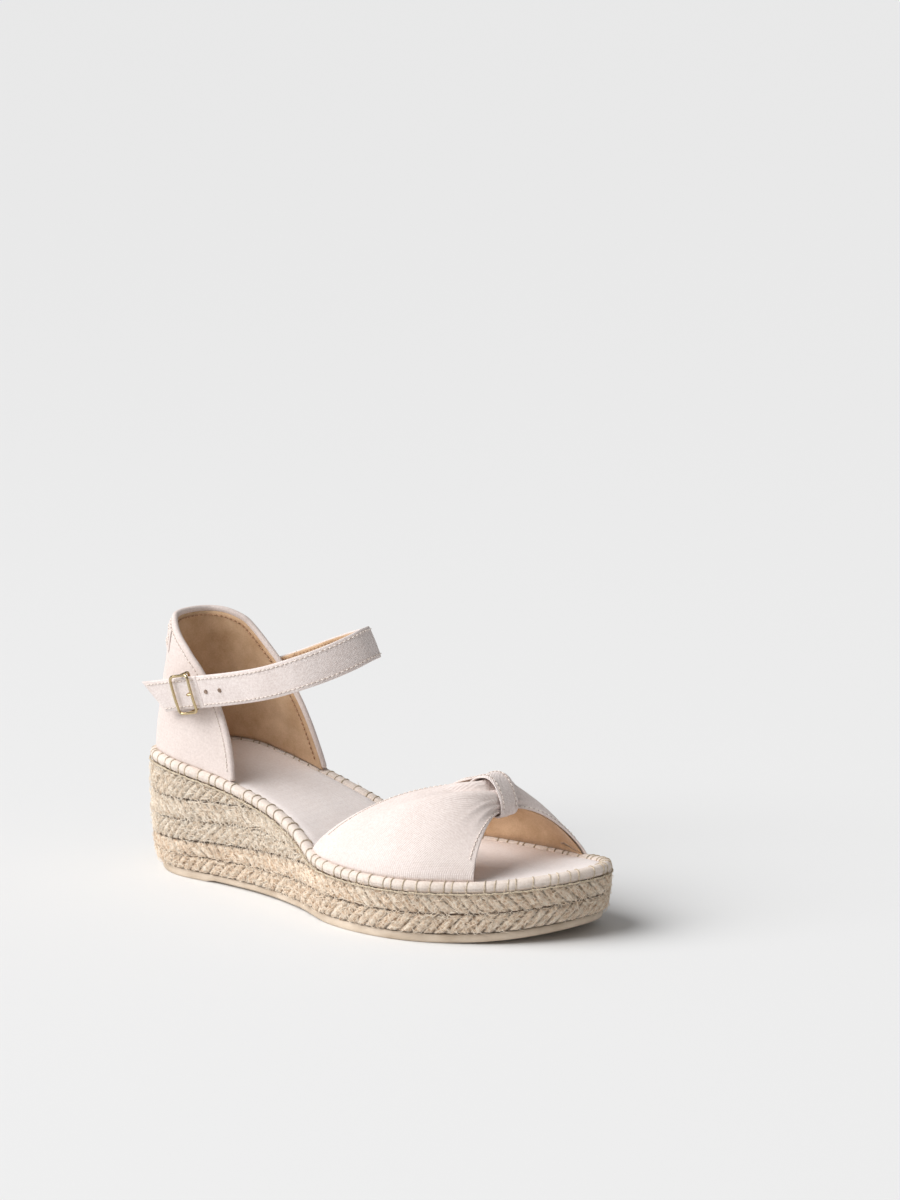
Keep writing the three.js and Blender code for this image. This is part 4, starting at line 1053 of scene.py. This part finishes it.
def buckle():
    loop = rounded_loop(11.4, 18.0, 2.0)
    bow = -3.3 + 0.45 * (loop[:, 1] / 8.9) ** 2 - 0.35 * np.abs(loop[:, 0] / 5.4) ** 2
    frame_path = buckle_point(loop[:, 0], bow, loop[:, 1])
    wire("buckle_frame_wire", frame_path, 0.66, True, "buckle", ("buckle_frame",))
    t = np.linspace(0, 1, 60)
    legs = spline([[-2.4, 8.9], [0.5, 8.9], [3.0, 8.75], [3.5, 7.4], [3.5, 0],
                   [3.5, -7.4], [3.0, -8.75], [0.5, -8.9], [-2.4, -8.9]])
    legs = at(legs, t * lengths(legs)[-1])
    bar_path = buckle_point(np.zeros(60), legs[:, 0], legs[:, 1])
    wire("buckle_bar_wire", bar_path, 0.6, False, "buckle", ("buckle_bar",))
    tongue = spline([[0.9, 1.3, 0], [-0.6, 1.6, 0], [-1.5, 3.0, 0], [-1.0, 4.6, 0], [0.6, 5.0, 0],
                     [1.9, 3.9, 0], [2.3, 1.6, 0], [2.9, -1.6, 0], [3.2, -3.6, 0], [4.0, -4.55, 0],
                     [5.2, -4.75, 0], [6.6, -4.55, 0]])
    tongue = at(tongue, np.linspace(0, 1, 70) * lengths(tongue)[-1])
    from_ends = np.minimum(np.linspace(0, 12, 70) + 0.05, np.linspace(9, 0.03, 70))
    taper = 0.62 * np.sqrt(np.clip(from_ends, 0, 1))
    prong_path = buckle_point(tongue[:, 0], tongue[:, 1], tongue[:, 2])
    wire("buckle_prong_wire", prong_path, taper[None], False, "prong", ("buckle_prong",))


buckle()


def buckle_tab():
    """The canvas tab: one strip that wraps round the centre bar on each side of the prong, then runs
    back flat along the counter as two lengths sewn together."""
    a = np.linspace(-np.pi / 2, np.pi / 2, 24)
    outer_x = np.concatenate([np.linspace(-15, -0.4, 30), 1.25 * np.cos(a), np.linspace(-0.4, -15, 30)])
    outer_y = np.concatenate([np.linspace(2.95, 2.25, 30), 3.5 + 1.25 * np.sin(a),
                              np.linspace(4.75, 3.95, 30)])
    for side, (z0, z1) in (("upper", (1.3, 6.0)), ("lower", (-6.0, -1.3))):
        z = z0 + (z1 - z0) * shares(12, 4.7, 0.4)
        middle = buckle_point(*np.broadcast_arrays(outer_x[:, None], outer_y[:, None], z[None]))
        facing = np.repeat(np.stack([np.zeros_like(outer_x), np.gradient(outer_x)], -1)[:, None], z.size, 1)
        out = -INWARD * facing[..., 1:] + ALONG * np.gradient(outer_y)[:, None, None]
        cloth(f"buckle_tab_{side}", middle, 0.55, BAND_CANVAS, "strap", "canvas", out, edge_radius=0.3,
              cover=("buckle_tab",) if side == "upper" else ())


buckle_tab()

# ---------- camera, floor and light ----------

camera_data = bpy.data.cameras.new("camera")
camera = bpy.data.objects.new("camera", camera_data)
bpy.context.scene.collection.objects.link(camera)
bpy.context.scene.camera = camera
camera_data.lens = 118.8
camera_data.sensor_width = 36
azimuth, elevation = math.radians(40), math.radians(13.8)
back = Vector((math.sin(azimuth) * math.cos(elevation), -math.cos(azimuth) * math.cos(elevation),
               math.sin(elevation)))
right = Vector((math.cos(azimuth), math.sin(azimuth), 0))
up = back.cross(right)
subject = Vector((0.095, 0, 0.04))
camera.location = subject + back * 1.8
target = subject + right * 0.0348 + up * 0.0955
camera.rotation_mode = "QUATERNION"
camera.rotation_quaternion = (target - camera.location).to_track_quat("-Z", "Y")

floor_mesh = bpy.data.meshes.new("floor")
floor_mesh.from_pydata([(-40, -40, 0), (40, -40, 0), (40, 40, 0), (-40, 40, 0)], [], [(0, 1, 2, 3)])
floor = bpy.data.objects.new("floor", floor_mesh)
bpy.context.scene.collection.objects.link(floor)
paper, paper_tree, paper_surface = finish_of("matt_paper_floor", Roughness=1.0, Specular_IOR_Level=0.0)
paper_surface.inputs["Base Color"].default_value = linear("#E9E9E9")
floor_mesh.materials.append(paper)

bpy.context.scene.view_settings.view_transform = "Standard"
world = bpy.data.worlds.new("studio")
bpy.context.scene.world = world
world.use_nodes = True
world.node_tree.nodes["Background"].inputs[0].default_value = linear("#FFFFFF")
world.node_tree.nodes["Background"].inputs[1].default_value = 0.27


def lamp(name, place, aim, size, power):
    """A square soft box at a place, turned to aim."""
    data = bpy.data.lights.new(name, "AREA")
    data.size = size
    data.energy = power
    light = bpy.data.objects.new(name, data)
    light.location = place
    light.rotation_mode = "QUATERNION"
    light.rotation_quaternion = (Vector(aim) - Vector(place)).to_track_quat("-Z", "Y")
    bpy.context.scene.collection.objects.link(light)


lamp("catch_left", (-0.7, -1.5, 1.2), (0.08, 0, 0.05), 0.8, 4)

key_data = bpy.data.lights.new("key", "SUN")
key_data.energy = 3.3
key_data.angle = 1.0
key = bpy.data.objects.new("key", key_data)
key.rotation_mode = "QUATERNION"
key.rotation_quaternion = Vector((0.52, 0.72, -0.85)).to_track_quat("-Z", "Y")
bpy.context.scene.collection.objects.link(key)
